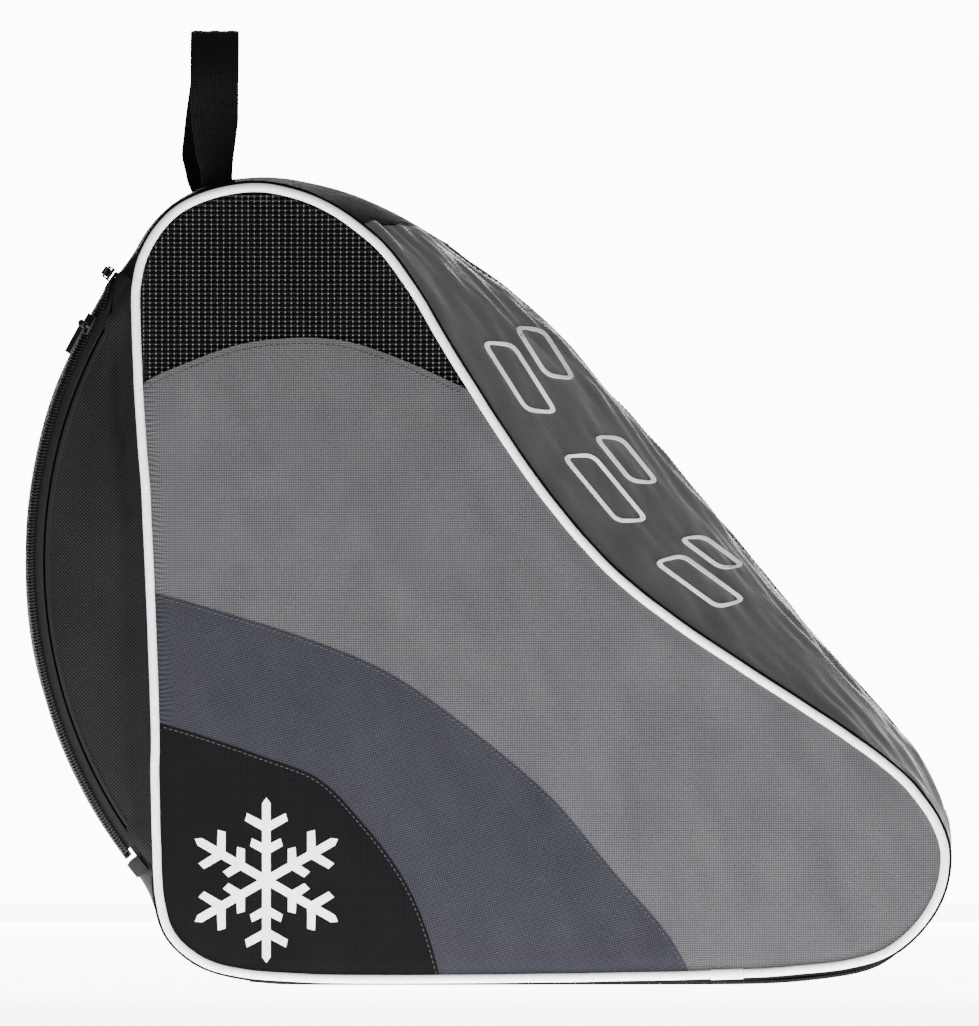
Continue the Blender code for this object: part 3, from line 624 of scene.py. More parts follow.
def side_piece(k, side, name):
    """One woven piece of a side: a slab cut by the outline and its seams, then bent to the relief."""
    node_name = seam_names[k]
    low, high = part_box(f"{node_name}_{name}")
    margin = 3 * mm
    piece = slab(f"{node_name}_cloth_{name}", side, (low.x - margin, low.z - margin),
                 (high.x + margin, high.z + margin), 3 * mm, 0.9 * mm)
    for loop in (outline, band_loop(k)):
        keep_inside(piece, prism("cutter", loop, side_y * 1.3 if side < 0 else 0.05, -0.05 if side < 0 else -side_y * 1.3))
    add_cut_map(piece)
    add_pucker_map(piece)
    lay_on_side(piece, side, 0.35 * mm * k)
    smooth(piece, 45)
    print(piece.name, len(piece.data.vertices))
    return piece


cloths = [None, grey_polyester, slate_polyester, corner_nylon]
slots = ["open_mesh", "grey_polyester", "slate_polyester", "black_nylon"]
for side, name in ((-1, "front"), (1, "rear")):
    for k in (1, 2, 3):
        piece = side_piece(k, side, name)
        settle(piece, "bag", slots[k], cloths[k], f"{seam_names[k]}_{name}")

# %% [markdown]
# ## One stitch, repeated
# Stitches, the vent's knots and the coil's ribs are each one small shape, modelled once and repeated in one mesh.
# A squashed sphere with a few faces is enough for a stitch or a knot.

# %% Stitch shape and repeating
bpy.ops.object.select_all(action="DESELECT")
bpy.ops.mesh.primitive_uv_sphere_add(segments=8, ring_count=5, radius=0.5)
stitch = bpy.context.object
stitch_points = points_of(stitch)
stitch_faces = [list(p.vertices) for p in stitch.data.polygons]
bpy.data.objects.remove(stitch)


def repeat_shape(name, shape, faces, frames, sizes):
    """One mesh of many copies of a small shape, each in its own frame (place, x, y, z axes)."""
    points, made = [], []
    for place, x, y, z in frames:
        base = len(points)
        for a, b, c in shape:
            points.append(place + x * (a * sizes[0]) + y * (b * sizes[1]) + z * (c * sizes[2]))
        made.extend([i + base for i in face] for face in faces)
    return smooth(from_faces(name, points, made), 60)

# %% [markdown]
# ## The vent
# The vent is an open knit with cells of about 3.2 by 2.4 mm. A grid with one face for each cell becomes a net with
# the Wireframe modifier, so the holes are real and the lining shows through them.


# %% Open mesh vent
def vent(side, name):
    """Net over the vent's area, its border drawn onto the outline."""
    low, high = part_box(f"side_mesh_{name}")
    cells = (int((high.x - low.x + 12 * mm) / (3.2 * mm)), int((high.z - low.z + 12 * mm) / (2.4 * mm)))
    bpy.ops.object.select_all(action="DESELECT")
    bpy.ops.mesh.primitive_grid_add(x_subdivisions=cells[0], y_subdivisions=cells[1], size=1.0)
    piece = bpy.context.object
    piece.name = f"vent_net_{name}"
    points = points_of(piece)
    flat = np.stack([(low.x + high.x) / 2 + points[:, 0] * cells[0] * 3.2 * mm,
                     np.full(len(points), side * (abs(side_y) - 0.5 * mm)),
                     (low.z + high.z) / 2 + points[:, 1] * cells[1] * 2.4 * mm], 1)
    set_points(piece, flat)
    border = rim_of("side_mesh_front")
    mesh = bmesh.new()
    mesh.from_mesh(piece.data)
    centres = np.array([(f.calc_center_median().x, f.calc_center_median().z) for f in mesh.faces])
    keep = in_loop(border, centres) | (distance_to(border, centres, True) < 2.5 * mm)
    keep &= in_loop(outline, centres) & (distance_to(outline, centres, True) > 3.6 * mm)
    bmesh.ops.delete(mesh, geom=[f for f, good in zip(mesh.faces[:], keep) if not good], context="FACES")
    mesh.to_mesh(piece.data)
    mesh.free()
    crossings = points_of(piece)
    bake(piece, "WIREFRAME", thickness=0.75 * mm, use_boundary=True, use_even_offset=False)
    lay_on_side(piece, side, -0.2 * mm)
    smooth(piece, 60)
    return piece, crossings


for side, name in ((-1, "front"), (1, "rear")):
    net, crossings = vent(side, name)
    settle(net, "bag", "open_mesh", vent_yarn, f"side_mesh_{name}")
    crossings = crossings[distance_to(outline, crossings[:, [0, 2]], True) > 3.4 * mm]
    crossings[:, 1] += side * (relief(crossings[:, [0, 2]], side) + 0.1 * mm)
    up, facing = Vector((0, 0, 1)), Vector((0, side, 0))
    frames = [(Vector(p), up, facing, up.cross(facing)) for p in crossings]
    knots = repeat_shape(f"vent_knots_{name}", stitch_points, stitch_faces, frames, (1.7 * mm, 1.0 * mm, 1.15 * mm))
    settle(knots, "bag", "open_mesh", vent_yarn)
    print(net.name, len(net.data.polygons), knots.name, len(knots.data.polygons))

# %% [markdown]
# ## Lining
# The lining only shows through the vent. It is a flat sheet cut to the side's outline, set just behind the net.

# %% Lining behind each side
for side, name in ((-1, "front"), (1, "rear")):
    piece = slab(f"lining_cloth_{name}", side, outline.min(0) - 2 * mm, outline.max(0) + 2 * mm, 9 * mm, 0.8 * mm)
    points = points_of(piece)
    points[:, 1] -= side * 1.6 * mm
    set_points(piece, points)
    keep_inside(piece, prism("cutter", drawn_in(2.2 * mm), -0.15 if side < 0 else 0.05, -0.05 if side < 0 else 0.15))
    add_cut_map(piece)
    lay_on_side(piece, side, -0.8 * mm)
    settle(smooth(piece), "bag", "lining", lining_cloth, f"side_lining_{name}")

# %% [markdown]
# ## Piping
# Piping is a cord wrapped in coated tape and sewn into the seam. A curve with a round bevel follows the outline, open
# under the base, where a short sleeve of the same tape covers its two ends.


# %% Piping and its sleeve
def tube_along(name, points, radius, sides=3, tilt=None):
    """Round tube with closed ends along points, as a mesh."""
    curve = bpy.data.curves.new(name, "CURVE")
    curve.dimensions = "3D"
    curve.bevel_depth = radius
    curve.bevel_resolution = sides
    curve.use_fill_caps = True
    line = curve.splines.new("POLY")
    line.points.add(len(points) - 1)
    for slot, point in zip(line.points, points):
        slot.co = (*point, 1.0)
    piece = bpy.data.objects.new(name, curve)
    bpy.context.collection.objects.link(piece)
    pick(piece)
    bpy.ops.object.convert(target="MESH")
    return smooth(bpy.context.object, 50)


for side, name in ((-1, "front"), (1, "rear")):
    low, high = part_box(f"piping_{name}")
    sleeve_low, sleeve_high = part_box(f"piping_join_{name}")
    y = (low.y + high.y) / 2
    start = int(np.argmin(np.linalg.norm(outline - np.array([sleeve_high.x + 1 * mm, sleeve_high.z]), axis=1)))
    end = int(np.argmin(np.linalg.norm(outline - np.array([sleeve_low.x - 1 * mm, sleeve_low.z]), axis=1)))
    order = np.roll(outline, -start, 0)[: (end - start) % len(outline) + 1]
    wave = [0.25 * mm * noise.noise(Vector((x * 60, 2.0, z * 60))) for x, z in order]
    path = [(x + w, y, z + w * 0.6) for (x, z), w in zip(order, wave)]
    settle(tube_along(f"piping_cord_{name}", path, 2.3 * mm, 4), "bag", "white_piping", white_piping, f"piping_{name}")
    rest = np.roll(outline, -end, 0)[: (start - end) % len(outline) + 1]
    rest = curve_through(rest, 4, False)
    path = [(x, y, z) for x, z in rest]
    piece = tube_along(f"piping_sleeve_{name}", path, 2.75 * mm, 4)
    settle(piece, "bag", "white_piping", white_piping, f"piping_join_{name}")

# %% [markdown]
# ## Turned seam edge
# Behind the piping, the gusset's cloth is turned under and bound. The binding stands a millimetre proud of the piping,
# so it shows as a thin black line round the outside.

# %% Seam edge behind the piping
edge_out = 2.3 * mm
for side, name in ((-1, "front"), (1, "rear")):
    ring = drawn_in(-edge_out)
    keep = ~((ring[:, 0] < -0.155) & (ring[:, 1] > 0.06) & (ring[:, 1] < 0.375))
    start = int(np.nonzero(keep & ~np.roll(keep, 1))[0][0])
    order = np.roll(ring, -start, 0)[: int(keep.sum())]
    path = [(x, side * (abs(side_y) - 3.4 * mm), z) for x, z in order]
    piece = tube_along(f"seam_edge_{name}", path, 1.35 * mm, 2)
    piece.data.uv_layers.new(name="cut")
    settle(piece, "bag", "black_nylon", seam_binding)

# %% [markdown]
# ## Gusset
# The gusset is the strip that joins the two sides. The satin over the slope swells out and creases along its length,
# and two halves meet in a seam on its crest. The creases are small moves along each vertex's normal.


# %% Bend a refined sheet along its normals
def crumple(piece, depth, height):
    """Move each vertex along its normal by depth times height(point)."""
    points = points_of(piece)
    normals = np.empty(len(points) * 3)
    piece.data.vertices.foreach_get("normal", normals)
    normals = normals.reshape(-1, 3)
    out = np.sign(np.sum(normals * (points - np.array([0, 0, 0.2])), axis=1, keepdims=True))
    shift = np.array([height(p) for p in points])[:, None] * depth
    set_points(piece, points + normals * out * shift)
    return piece


def edge_fade(p):
    """1 in the gusset's middle, 0 where the piping holds it."""
    return min(max((0.0947 - abs(p[1])) / 0.012, 0.0), 1.0)


def satin_folds(p):
    along = p[0] * 0.7 - p[2] * 0.7
    out = p[0] * 0.7 + p[2] * 0.7
    broad = noise.noise(Vector((along * 16 + p[1] * 12, out * 26, p[1] * 34)))
    fine = noise.noise(Vector((along * 45 + p[1] * 60, out * 70, p[1] * 110)))
    seam = math.exp(-((p[1] / (3 * mm)) ** 2))
    return (broad + 0.7 * fine) * edge_fade(p) * (1 - 0.8 * seam) - 0.25 * seam


hinge = Vector(joints["door_hinge"]["pos_m"])


def soft_folds(p):
    broad = noise.noise(Vector((p[0] * 30, p[1] * 18, p[2] * 30)))
    below_hinge = min(max((abs(p[2] - hinge.z) - 4 * mm) / (20 * mm), 0.0), 1.0)
    return broad * edge_fade(p) * below_hinge


def lift_heel_end(piece):
    """Raise the base's heel end so that it follows the side's rounded corner."""
    low = outline[(outline[:, 1] < 0.04) & (outline[:, 0] < 0.1)]
    low = low[np.argsort(low[:, 0])]
    points = points_of(piece)
    room = np.clip((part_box("base_board")[0].x - points[:, 0]) / (8 * mm), 0, 1)
    rise = np.clip(np.interp(points[:, 0], low[:, 0], low[:, 1]) - 4.2 * mm, 0, 3 * mm)
    points[:, 2] += rise * room
    set_points(piece, points)


def add_flow_map(piece):
    """UV map in metres: along the outline's direction, and across the bag."""
    points = points_of(piece)
    near = np.array([np.argmin(np.sum((outline - p[[0, 2]]) ** 2, axis=1)) for p in points])
    length = np.concatenate([[0], np.cumsum(np.linalg.norm(np.diff(outline, axis=0), axis=1))])
    step = np.roll(outline, -1, 0) - np.roll(outline, 1, 0)
    step /= np.linalg.norm(step, axis=1, keepdims=True)
    along = length[near] + np.sum((points[:, [0, 2]] - outline[near]) * step[near], axis=1)
    layer = piece.data.uv_layers.new(name="cut")
    corners = np.empty(len(piece.data.loops), int)
    piece.data.loops.foreach_get("vertex_index", corners)
    layer.data.foreach_set("uv", np.stack([along, points[:, 1]], 1)[corners].ravel())


for name in ("front", "rear"):
    piece = refine(f"slope_gusset_{name}", f"slope_satin_{name}", 3)
    add_flow_map(piece)
    crumple(piece, 2.4 * mm, satin_folds)
    settle(piece, "bag", "satin_nylon", satin_nylon, f"slope_gusset_{name}")
for node_name, name, levels, depth in (("top_panel", "top_cloth", 2, 1.0), ("heel_panel", "heel_cloth", 2, 1.0),
                                       ("base_panel", "base_cloth", 4, 0.0)):
    piece = refine(node_name, name, levels)
    add_flow_map(piece)
    if depth:
        crumple(piece, depth * mm, soft_folds)
    else:
        lift_heel_end(piece)
    settle(piece, "bag", "black_nylon", black_nylon, node_name)

# %% [markdown]
# ## Bulge walls and door
# The end of the bag is a D-shaped box. Its flat walls sink in beside the piping, where the cloth folds in shadow.


# %% Bulge walls and door
centre = Vector(joints["front_slider_travel"]["pos_m"])
radius = centre.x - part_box("door_panel")[0].x
bulge_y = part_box("zip_tape_bag")[1].y
zip_y = bulge_y - 4 * mm
roll, roll_width, corner = 12 * mm, 14.5 * mm, 20 * mm
slider_top = Vector(joints["top_pull_hinge"]["pos_m"])
hinge_angle = math.atan2(hinge.z - centre.z, hinge.x - centre.x) % (2 * math.pi)
zip_top = math.atan2(slider_top.z - centre.z, slider_top.x - centre.x) % (2 * math.pi)
left_line = outline[outline[:, 0] < -0.16]
left_line = left_line[np.argsort(left_line[:, 1])]


def wall_folds(p):
    edge = np.interp(p[2], left_line[:, 1], left_line[:, 0])
    away = edge - p[0]
    groove = math.exp(-(((away - 9 * mm) / (6 * mm)) ** 2))
    wave = noise.noise(Vector((p[0] * 30, p[1] * 3, p[2] * 12)))
    rim = radius - roll - math.hypot(p[0] - centre.x, p[2] - centre.z)
    fade = min(max(away / (4 * mm), 0.0), 1.0) * min(max(rim / (12 * mm), 0.0), 1.0)
    depth = 3.0 + 4.0 * min(max((p[2] - 0.16) / 0.12, 0.0), 1.0)
    return (-depth * groove + 1.8 * wave) * fade


edge_radius = radius - roll * (1 - math.sqrt(1 - 0.97 ** 2))
welt_room = 2.8 * mm
overlap = 5 * mm  # the wall runs on behind the piping
tips = [a for a in np.linspace(math.radians(125), math.radians(235), 441)
        if centre.x + edge_radius * math.cos(a) < np.interp(
            centre.z + edge_radius * math.sin(a), left_line[:, 1], left_line[:, 0]) + overlap - 1.0 * mm]
wall_rows, wall_columns = 90, 16


def bulge_wall(side, name):
    """Side wall of the bulge, from behind the piping to the rim, between the bulge's two tips."""
    bpy.ops.object.select_all(action="DESELECT")
    bpy.ops.mesh.primitive_grid_add(x_subdivisions=wall_rows, y_subdivisions=wall_columns, size=1.0)
    piece = bpy.context.object
    piece.name = f"bulge_cloth_{name}"
    points = points_of(piece)
    for k, (a, b, _) in enumerate(points):
        turn = tips[0] + (tips[-1] - tips[0]) * (a + 0.5)
        share = b + 0.5
        welted = min(max((turn - zip_top - 0.1) / 0.01, 0), 1) * min(max((hinge_angle - turn - 0.05) / 0.01, 0), 1)
        reach = edge_radius - welt_room * welted
        arc_x, z = centre.x + reach * math.cos(turn), centre.z + reach * math.sin(turn)
        start = np.interp(z, left_line[:, 1], left_line[:, 0]) + overlap
        x = start + (min(arc_x, start - 0.5 * mm) - start) * share
        out = (94.4 * mm) * (1 - share) + bulge_y * share + 2.5 * mm * math.sin(math.pi * share) * (1 - 0.5 * share)
        points[k] = (x, side * (out + 1.0 * mm * wall_folds((x, 0, z))), z)
    set_points(piece, points)
    if side > 0:
        piece.data.flip_normals()
    bake(piece, "SOLIDIFY", thickness=1.2 * mm, offset=-1.0)
    add_cut_map(piece)
    return smooth(piece, 50)


for side, name in ((-1, "front"), (1, "rear")):
    settle(bulge_wall(side, name), "bag", "black_nylon", black_nylon, f"bulge_side_{name}")


def door_folds(p):
    share = max(0.0, 1 - (p[1] / 0.075) ** 2) * min(max((p[2] - hinge.z - 3 * mm) / (30 * mm), 0.0), 1.0)
    return share * (1.5 + 1.2 * noise.noise(Vector((p[0] * 25, p[1] * 14, p[2] * 14))))


def add_arc_map(piece):
    """UV map in metres: across the bag, and along the bulge's arc."""
    points = points_of(piece)
    turn = np.arctan2(points[:, 2] - centre.z, points[:, 0] - centre.x) % (2 * math.pi)
    corners = np.empty(len(piece.data.loops), int)
    piece.data.loops.foreach_get("vertex_index", corners)
    layer = piece.data.uv_layers.new(name="cut")
    layer.data.foreach_set("uv", np.stack([points[:, 1], turn * radius], 1)[corners].ravel())


piece = refine("door_panel", "door_cloth", 2)
add_arc_map(piece)
crumple(piece, 1.0 * mm, door_folds)
settle(piece, "door", "black_nylon", black_nylon, "door_panel")

# %% [markdown]
# ## Zip
# A coil zip is a nylon helix sewn on each tape. Its loops show as slanted ribs of about 1.8 mm. One rib is modelled
# as a rounded bar and repeated along the zip's line, which follows the door's rounded edge.

# %% The zip's line, from the frame
def bulge(angle, y, lift=0.0):
    """Point of the bulge's outer surface, lifted along its normal."""
    def at(a, v):
        t = min(max((abs(v) - (bulge_y - roll_width * 0.97)) / roll_width, 0.0), 0.97)
        r = radius - roll * (1 - math.sqrt(1 - t * t))
        return Vector((centre.x + r * math.cos(a), v, centre.z + r * math.sin(a)))

    place = at(angle, y)
    if lift:
        across = at(angle, y + 1e-4) - at(angle, y - 1e-4)
        along = at(angle + 1e-4, y) - at(angle - 1e-4, y)
        place = place + across.cross(along).normalized() * lift
    return place


zip_low = hinge_angle - 4 * mm / radius
print("zip from", round(math.degrees(zip_low), 1), "to", round(math.degrees(zip_top), 1))


def zip_rows(pitch):
    """(angle, y, heading) every pitch along the zip: up the front leg, over the top, down the rear leg."""
    leg = (zip_low - zip_top) * radius - corner
    bend, top = corner * math.pi / 2, 2 * (zip_y - corner)
    total = 2 * leg + 2 * bend + top
    rows = []
    for k in range(int(total / pitch) + 1):
        s = k * pitch
        mirror = s > total / 2
        s = total - s if mirror else s
        if s < leg:
            row = (zip_low - s / radius, -zip_y, 0.0)
        elif s < leg + bend:
            turn = (s - leg) / corner
            row = (zip_top + corner * (1 - math.sin(turn)) / radius, -zip_y + corner * (1 - math.cos(turn)), turn)
        else:
            row = (zip_top, -zip_y + corner + s - leg - bend, math.pi / 2)
        rows.append((row[0], -row[1], math.pi - row[2]) if mirror else row)
    return rows


def beside(row, offset, lift=0.0):
    angle, y, turn = row
    return bulge(angle + offset * math.sin(turn) / radius, y + offset * math.cos(turn), lift)


def zip_frame(row):
    place = beside(row, 0.0)
    across = (beside(row, 1e-4) - beside(row, -1e-4)).normalized()
    out = (beside(row, 0.0, 1e-3) - place).normalized()
    return place, across.cross(out), across, out


# %% Cloth patches outside the zip's upper corners
def rolled_patch(name, grid):
    """Closed piece of cloth from rows of points on the bulge's rolled edge."""
    columns = len(grid[0])
    points = [p for row in grid for p in row]
    faces = [(i * columns + j, i * columns + j + 1, (i + 1) * columns + j + 1, (i + 1) * columns + j)
             for i in range(len(grid) - 1) for j in range(columns - 1)]
    piece = from_faces(name, points, faces)
    pick(piece)
    bpy.ops.object.mode_set(mode="EDIT")
    bpy.ops.mesh.select_all(action="SELECT")
    bpy.ops.mesh.remove_doubles(threshold=1e-5)
    bpy.ops.mesh.normals_make_consistent(inside=False)
    bpy.ops.object.mode_set(mode="OBJECT")
    bake(piece, "SOLIDIFY", thickness=1.2 * mm, offset=-1.0)
    pick(piece)
    bpy.ops.object.mode_set(mode="EDIT")
    bpy.ops.mesh.select_all(action="SELECT")
    bpy.ops.mesh.normals_make_consistent(inside=False)
    bpy.ops.object.mode_set(mode="OBJECT")
    add_cut_map(piece)
    settle(smooth(piece, 50), "bag", "black_nylon", black_nylon)


zip_above = zip_top - 4.3 * mm / radius
corner_rows = [row for row in zip_rows(1.5 * mm) if row[1] < -0.05 and row[0] < zip_top + 2.0 * corner / radius]
leg_start = corner_rows[0][0]
for side, name in ((-1, "front"), (1, "rear")):
    grid = []
    for angle, y, turn in corner_rows:
        inner = (angle - 4.1 * mm * math.sin(turn) / radius, y - 4.1 * mm * math.cos(turn))
        part = min(turn / (math.pi / 4), 1.0)
        if turn < 1e-6:
            outer = (angle, -bulge_y)
        elif part < 1.0:
            outer = (zip_top + corner / radius + (zip_above - zip_top - corner / radius) * part, -bulge_y)
        else:
            outer = (zip_above, -bulge_y + (inner[1] + bulge_y) * min((turn - math.pi / 4) / (math.pi / 4), 1.0))
        row = []
        for share in np.linspace(0, 1, 9):
            place = bulge(inner[0] + (outer[0] - inner[0]) * share, inner[1] + (outer[1] - inner[1]) * share)
            row.append((place.x, -side * place.y, place.z))
        grid.append(row)
    rolled_patch(f"zip_corner_patch_{name}", grid)

# %% Cloth under the zip's lower ends
for side, name in ((-1, "front"), (1, "rear")):
    grid = []
    for angle in np.linspace(zip_low - 10 * mm / radius, hinge_angle + 7 * mm / radius, 10):
        row = [bulge(angle, -y, -2.4 * mm) for y in np.linspace(zip_y + 0.4 * mm, bulge_y, 9)]
        grid.append([(place.x, -side * place.y, place.z) for place in row])
    rolled_patch(f"zip_low_patch_{name}", grid)

# %% One rib, and the two coils
bpy.ops.object.select_all(action="DESELECT")
bpy.ops.mesh.primitive_cylinder_add(vertices=8, radius=0.5, depth=1.0, end_fill_type="NGON")
bpy.ops.object.mode_set(mode="EDIT")
bpy.ops.mesh.select_all(action="SELECT")
bpy.ops.mesh.bevel(offset=0.12, segments=1)
bpy.ops.object.mode_set(mode="OBJECT")
rib = bpy.context.object
rib_points = points_of(rib)
rib_faces = [list(p.vertices) for p in rib.data.polygons]
bpy.data.objects.remove(rib)


for sign, where, body in ((-1, "bag", "bag"), (1, "door", "door")):
    frames = []
    for row in zip_rows(1.7 * mm):
        place, along, across, out = zip_frame(row)
        slant = (across * sign + along * 0.35).normalized()
        middle = place + across * sign * 1.45 * mm + out * 1.1 * mm
        frames.append((middle, slant.cross(out).normalized(), out, slant))
    piece = repeat_shape(f"zip_ribs_{where}", rib_points, rib_faces, frames, (1.15 * mm, 1.6 * mm, 2.7 * mm))
    settle(piece, body, "zip_coil", coil_nylon, f"zip_coil_{where}")
    piece = refine(f"zip_tape_{where}", f"zip_tape_cloth_{where}", 2)
    add_cut_map(piece, "YZ")
    settle(piece, body, "zip_coil", binding_cloth, f"zip_tape_{where}")
for name in ("front", "rear"):
    piece = refine(f"welt_{name}", f"welt_cord_{name}", 2)
    add_cut_map(piece)
    settle(piece, "bag", "welt_twill", binding_cloth, f"welt_{name}")
    piece = refine(f"zip_end_tab_{name}", f"zip_end_cloth_{name}", 3)
    add_cut_map(piece, "YZ")
    settle(piece, "bag", "black_nylon", binding_cloth, f"zip_end_tab_{name}")
piece = refine("hinge_binding", "hinge_binding_cloth", 3)
add_cut_map(piece, "YZ")
settle(piece, "bag", "black_nylon", binding_cloth, "hinge_binding")

# %% [markdown]
# ## Sliders and pulls
# The sliders are cast zinc, so every edge is a little round. The frame's shapes are right, and a small bevel is added.

# %% Sliders and pulls
for where in ("front", "top"):
    for part, body in (("zip_slider", "slider"), ("zip_pull", "pull")):
        piece = copy_node(f"{part}_{where}", f"{part}_cast_{where}")
        bake(piece, "BEVEL", width=0.25 * mm, segments=3, limit_method="ANGLE", angle_limit=math.radians(40))
        settle(smooth(piece, 40), f"{body}_{where}", "zip_metal", slider_lacquer, f"{part}_{where}")

# %% [markdown]
# ## Handle
# The carry loop is a length of 25 mm webbing. It stands up by its own stiffness, its sharp fold at the top, and it
# twists and narrows a little where it is sewn down at its feet.

# %% Webbing loop
strap_low, strap_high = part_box("handle_strap")
foot_low, foot_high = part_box("handle_foot_front")
pivot = Vector(joints["handle_tilt"]["pos_m"])
half_width = (strap_high.x - strap_low.x) / 2
span = strap_high.y


# Share of the drop from the top, and there each leg's sideways lean (m) and seen width.
leg_shape = {
    -1: ((0, 0.45, 0.55, 0.76, 0.86, 1), (0, 0, 0.2, 0.3, 1.0, 1.2), (1, 1, 0.98, 0.78, 0.64, 0.6)),
    1: ((0, 0.3, 0.55, 0.76, 0.91, 1), (0, -0.4, -3.6, -7.2, -6.0, -3.5), (1, 1, 0.97, 0.82, 0.68, 0.6)),
}
bend_height = 34 * mm
foot_z = foot_high.z - 9 * mm
rise = strap_high.z - foot_z - 0.8 * mm


def strap_path(t):
    """Middle of the webbing and its twist, for t from -1 at the front foot to 1 at the rear foot."""
    s = abs(t)
    bend = math.pi / 2 * min(s / 0.5, 1.0)
    y = (span - 0.8 * mm) * math.sin(bend)
    drop = bend_height * (1 - math.cos(bend)) + (rise - bend_height) * max(s - 0.5, 0.0) / 0.5
    shares, leans, widths = leg_shape[1 if t > 0 else -1]
    lean = np.interp(drop / rise, shares, leans) * mm
    twist = math.acos(min(np.interp(drop / rise, shares, widths), 1.0))
    return Vector((pivot.x + lean, math.copysign(y, t), foot_z + rise - drop)), twist


rows = []
for k in range(121):
    t = -1 + 2 * k / 120
    place, twist = strap_path(t)
    ahead = strap_path(min(t + 0.01, 1.0))[0] - strap_path(max(t - 0.01, -1.0))[0]
    ahead.normalize()
    wide = Vector((1, 0, 0))
    out = wide.cross(ahead).normalized()
    wide = out.cross(ahead).normalized() * -1
    wide, out = wide * math.cos(twist) + out * math.sin(twist), out * math.cos(twist) - wide * math.sin(twist)
    row = []
    for j in range(9):
        w = -1 + j / 4
        row.append(place + wide * (w * half_width) + out * (0.25 * mm * math.cos(w * 9)))
    rows.append(row)
points = [p for row in rows for p in row]
faces = [(i * 9 + j, i * 9 + j + 1, i * 9 + j + 10, i * 9 + j + 9) for i in range(120) for j in range(8)]
strap = from_faces("webbing_loop", points, faces)
layer = strap.data.uv_layers.new(name="cut")
strap_length = sum((strap_path(-1 + 2 * (k + 1) / 60)[0] - strap_path(-1 + 2 * k / 60)[0]).length for k in range(60))
for loop in strap.data.loops:
    i, j = divmod(loop.vertex_index, 9)
    layer.data[loop.index].uv = ((j / 8) * 2 * half_width, i / 120 * strap_length)
bake(strap, "SOLIDIFY", thickness=1.5 * mm, offset=0.0)
bake(strap, "BEVEL", width=0.4 * mm, segments=2, limit_method="ANGLE", angle_limit=math.radians(60))
smooth(strap, 50)
print("webbing length", round(strap_length, 4))
strap.data.materials.clear()
strap.data.materials.append(webbing)
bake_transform(strap)
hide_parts("handle_strap")
for name in ("front", "rear"):
    piece = refine(f"handle_foot_{name}", f"webbing_foot_{name}", 3)
    points = points_of(piece)
    middle = points.mean(0)
    points = middle + (points - middle) * np.array([0.8, 1.0, 0.8]) + np.array([0.3, 0, -1.1]) * mm
    set_points(piece, points)
    add_cut_map(piece, "XY")
    settle(piece, "bag", "webbing", webbing, f"handle_foot_{name}")

# %% [markdown]
# ## Hidden pieces
# The stiffener board and the seam tape stay as the frame has them, and only get their finish.

# %% Board and seam tape
board_fibre = plain("black_fibre_board", "#2a2a2c", 0.7)
tape_cloth = plain("black_seam_tape", "#1a1a1b", 0.8)
for node_name, material in (("base_board", board_fibre), ("crest_seam_tape", tape_cloth)):
    frame["nodes"][node_name].data.materials.clear()
    frame["nodes"][node_name].data.materials.append(material)

# %% [markdown]
# ## Topstitching
# Every lapped seam is held by a row of stitches, about 3 mm apart, laid on the same relief as the cloth.

# %% Rows of stitches
def resample(line, pitch):
    """Points every pitch along a line."""
    length = np.concatenate([[0], np.cumsum(np.linalg.norm(np.diff(line, axis=0), axis=1))])
    at = np.arange(pitch, length[-1] - pitch, pitch)
    return np.stack([np.interp(at, length, line[:, k]) for k in range(line.shape[1])], 1)


def side_stitches(k, side, name, drop):
    """Row of stitches on the side's relief, drop below seam k."""
    line = seams[k]
    step = np.gradient(line, axis=0)
    step /= np.linalg.norm(step, axis=1, keepdims=True)
    row = resample(line + np.stack([step[:, 1], -step[:, 0]], 1) * drop, 2.9 * mm)
    row = row[(distance_to(outline, row, True) > 3 * mm) & in_loop(outline, row)]
    out = relief(row, side) + abs(side_y) - 0.3 * mm + 0.35 * mm * (k + 1) + 0.05 * mm
    frames = []
    for (x, z), y, (tx, tz) in zip(row, out, np.gradient(row, axis=0)):
        along = Vector((tx, 0, tz)).normalized()
        frames.append((Vector((x, side * y, z)), along, Vector((0, side, 0)), along.cross(Vector((0, side, 0)))))
    return repeat_shape(f"stitches_{seam_names[k + 1]}_{name}", stitch_points, stitch_faces, frames,
                        (2.2 * mm, 0.55 * mm, 0.75 * mm))


threads = [grey_thread, slate_thread, black_thread]
thread_slots = ["grey_polyester", "slate_polyester", "black_nylon"]
for side, name in ((-1, "front"), (1, "rear")):
    for k in range(3):
        settle(side_stitches(k, side, name, (3.2 * mm, 1.4 * mm, 1.4 * mm)[k]), "bag", thread_slots[k], threads[k])

# %% Stitches over the slope
crest_places = []
slope_names = ("slope_satin_front", "slope_satin_rear")
slope_trees = []
for name in slope_names:
    mesh = bpy.data.objects[name].data
    slope_trees.append(BVHTree.FromPolygons([v.co[:] for v in mesh.vertices], [p.vertices[:] for p in mesh.polygons]))


def slope_row(places, side):
    """Frames on the slope's cloth for points outside it, each with its inward direction."""
    hits = []
    for start, inward in places:
        hit, normal, _, _ = slope_trees[0 if side < 0 else 1].ray_cast(start, inward)
        if hit is not None:
            hits.append((hit, normal if normal.dot(inward) < 0 else -normal))
    frames = []
    for k, (hit, normal) in enumerate(hits):
        ahead = hits[min(k + 1, len(hits) - 1)][0] - hits[max(k - 1, 0)][0]
        if 0 < ahead.length < 12 * mm:
            along = (ahead - normal * ahead.dot(normal)).normalized()
            frames.append((hit + normal * 0.1 * mm, along, normal, along.cross(normal)))
    return frames


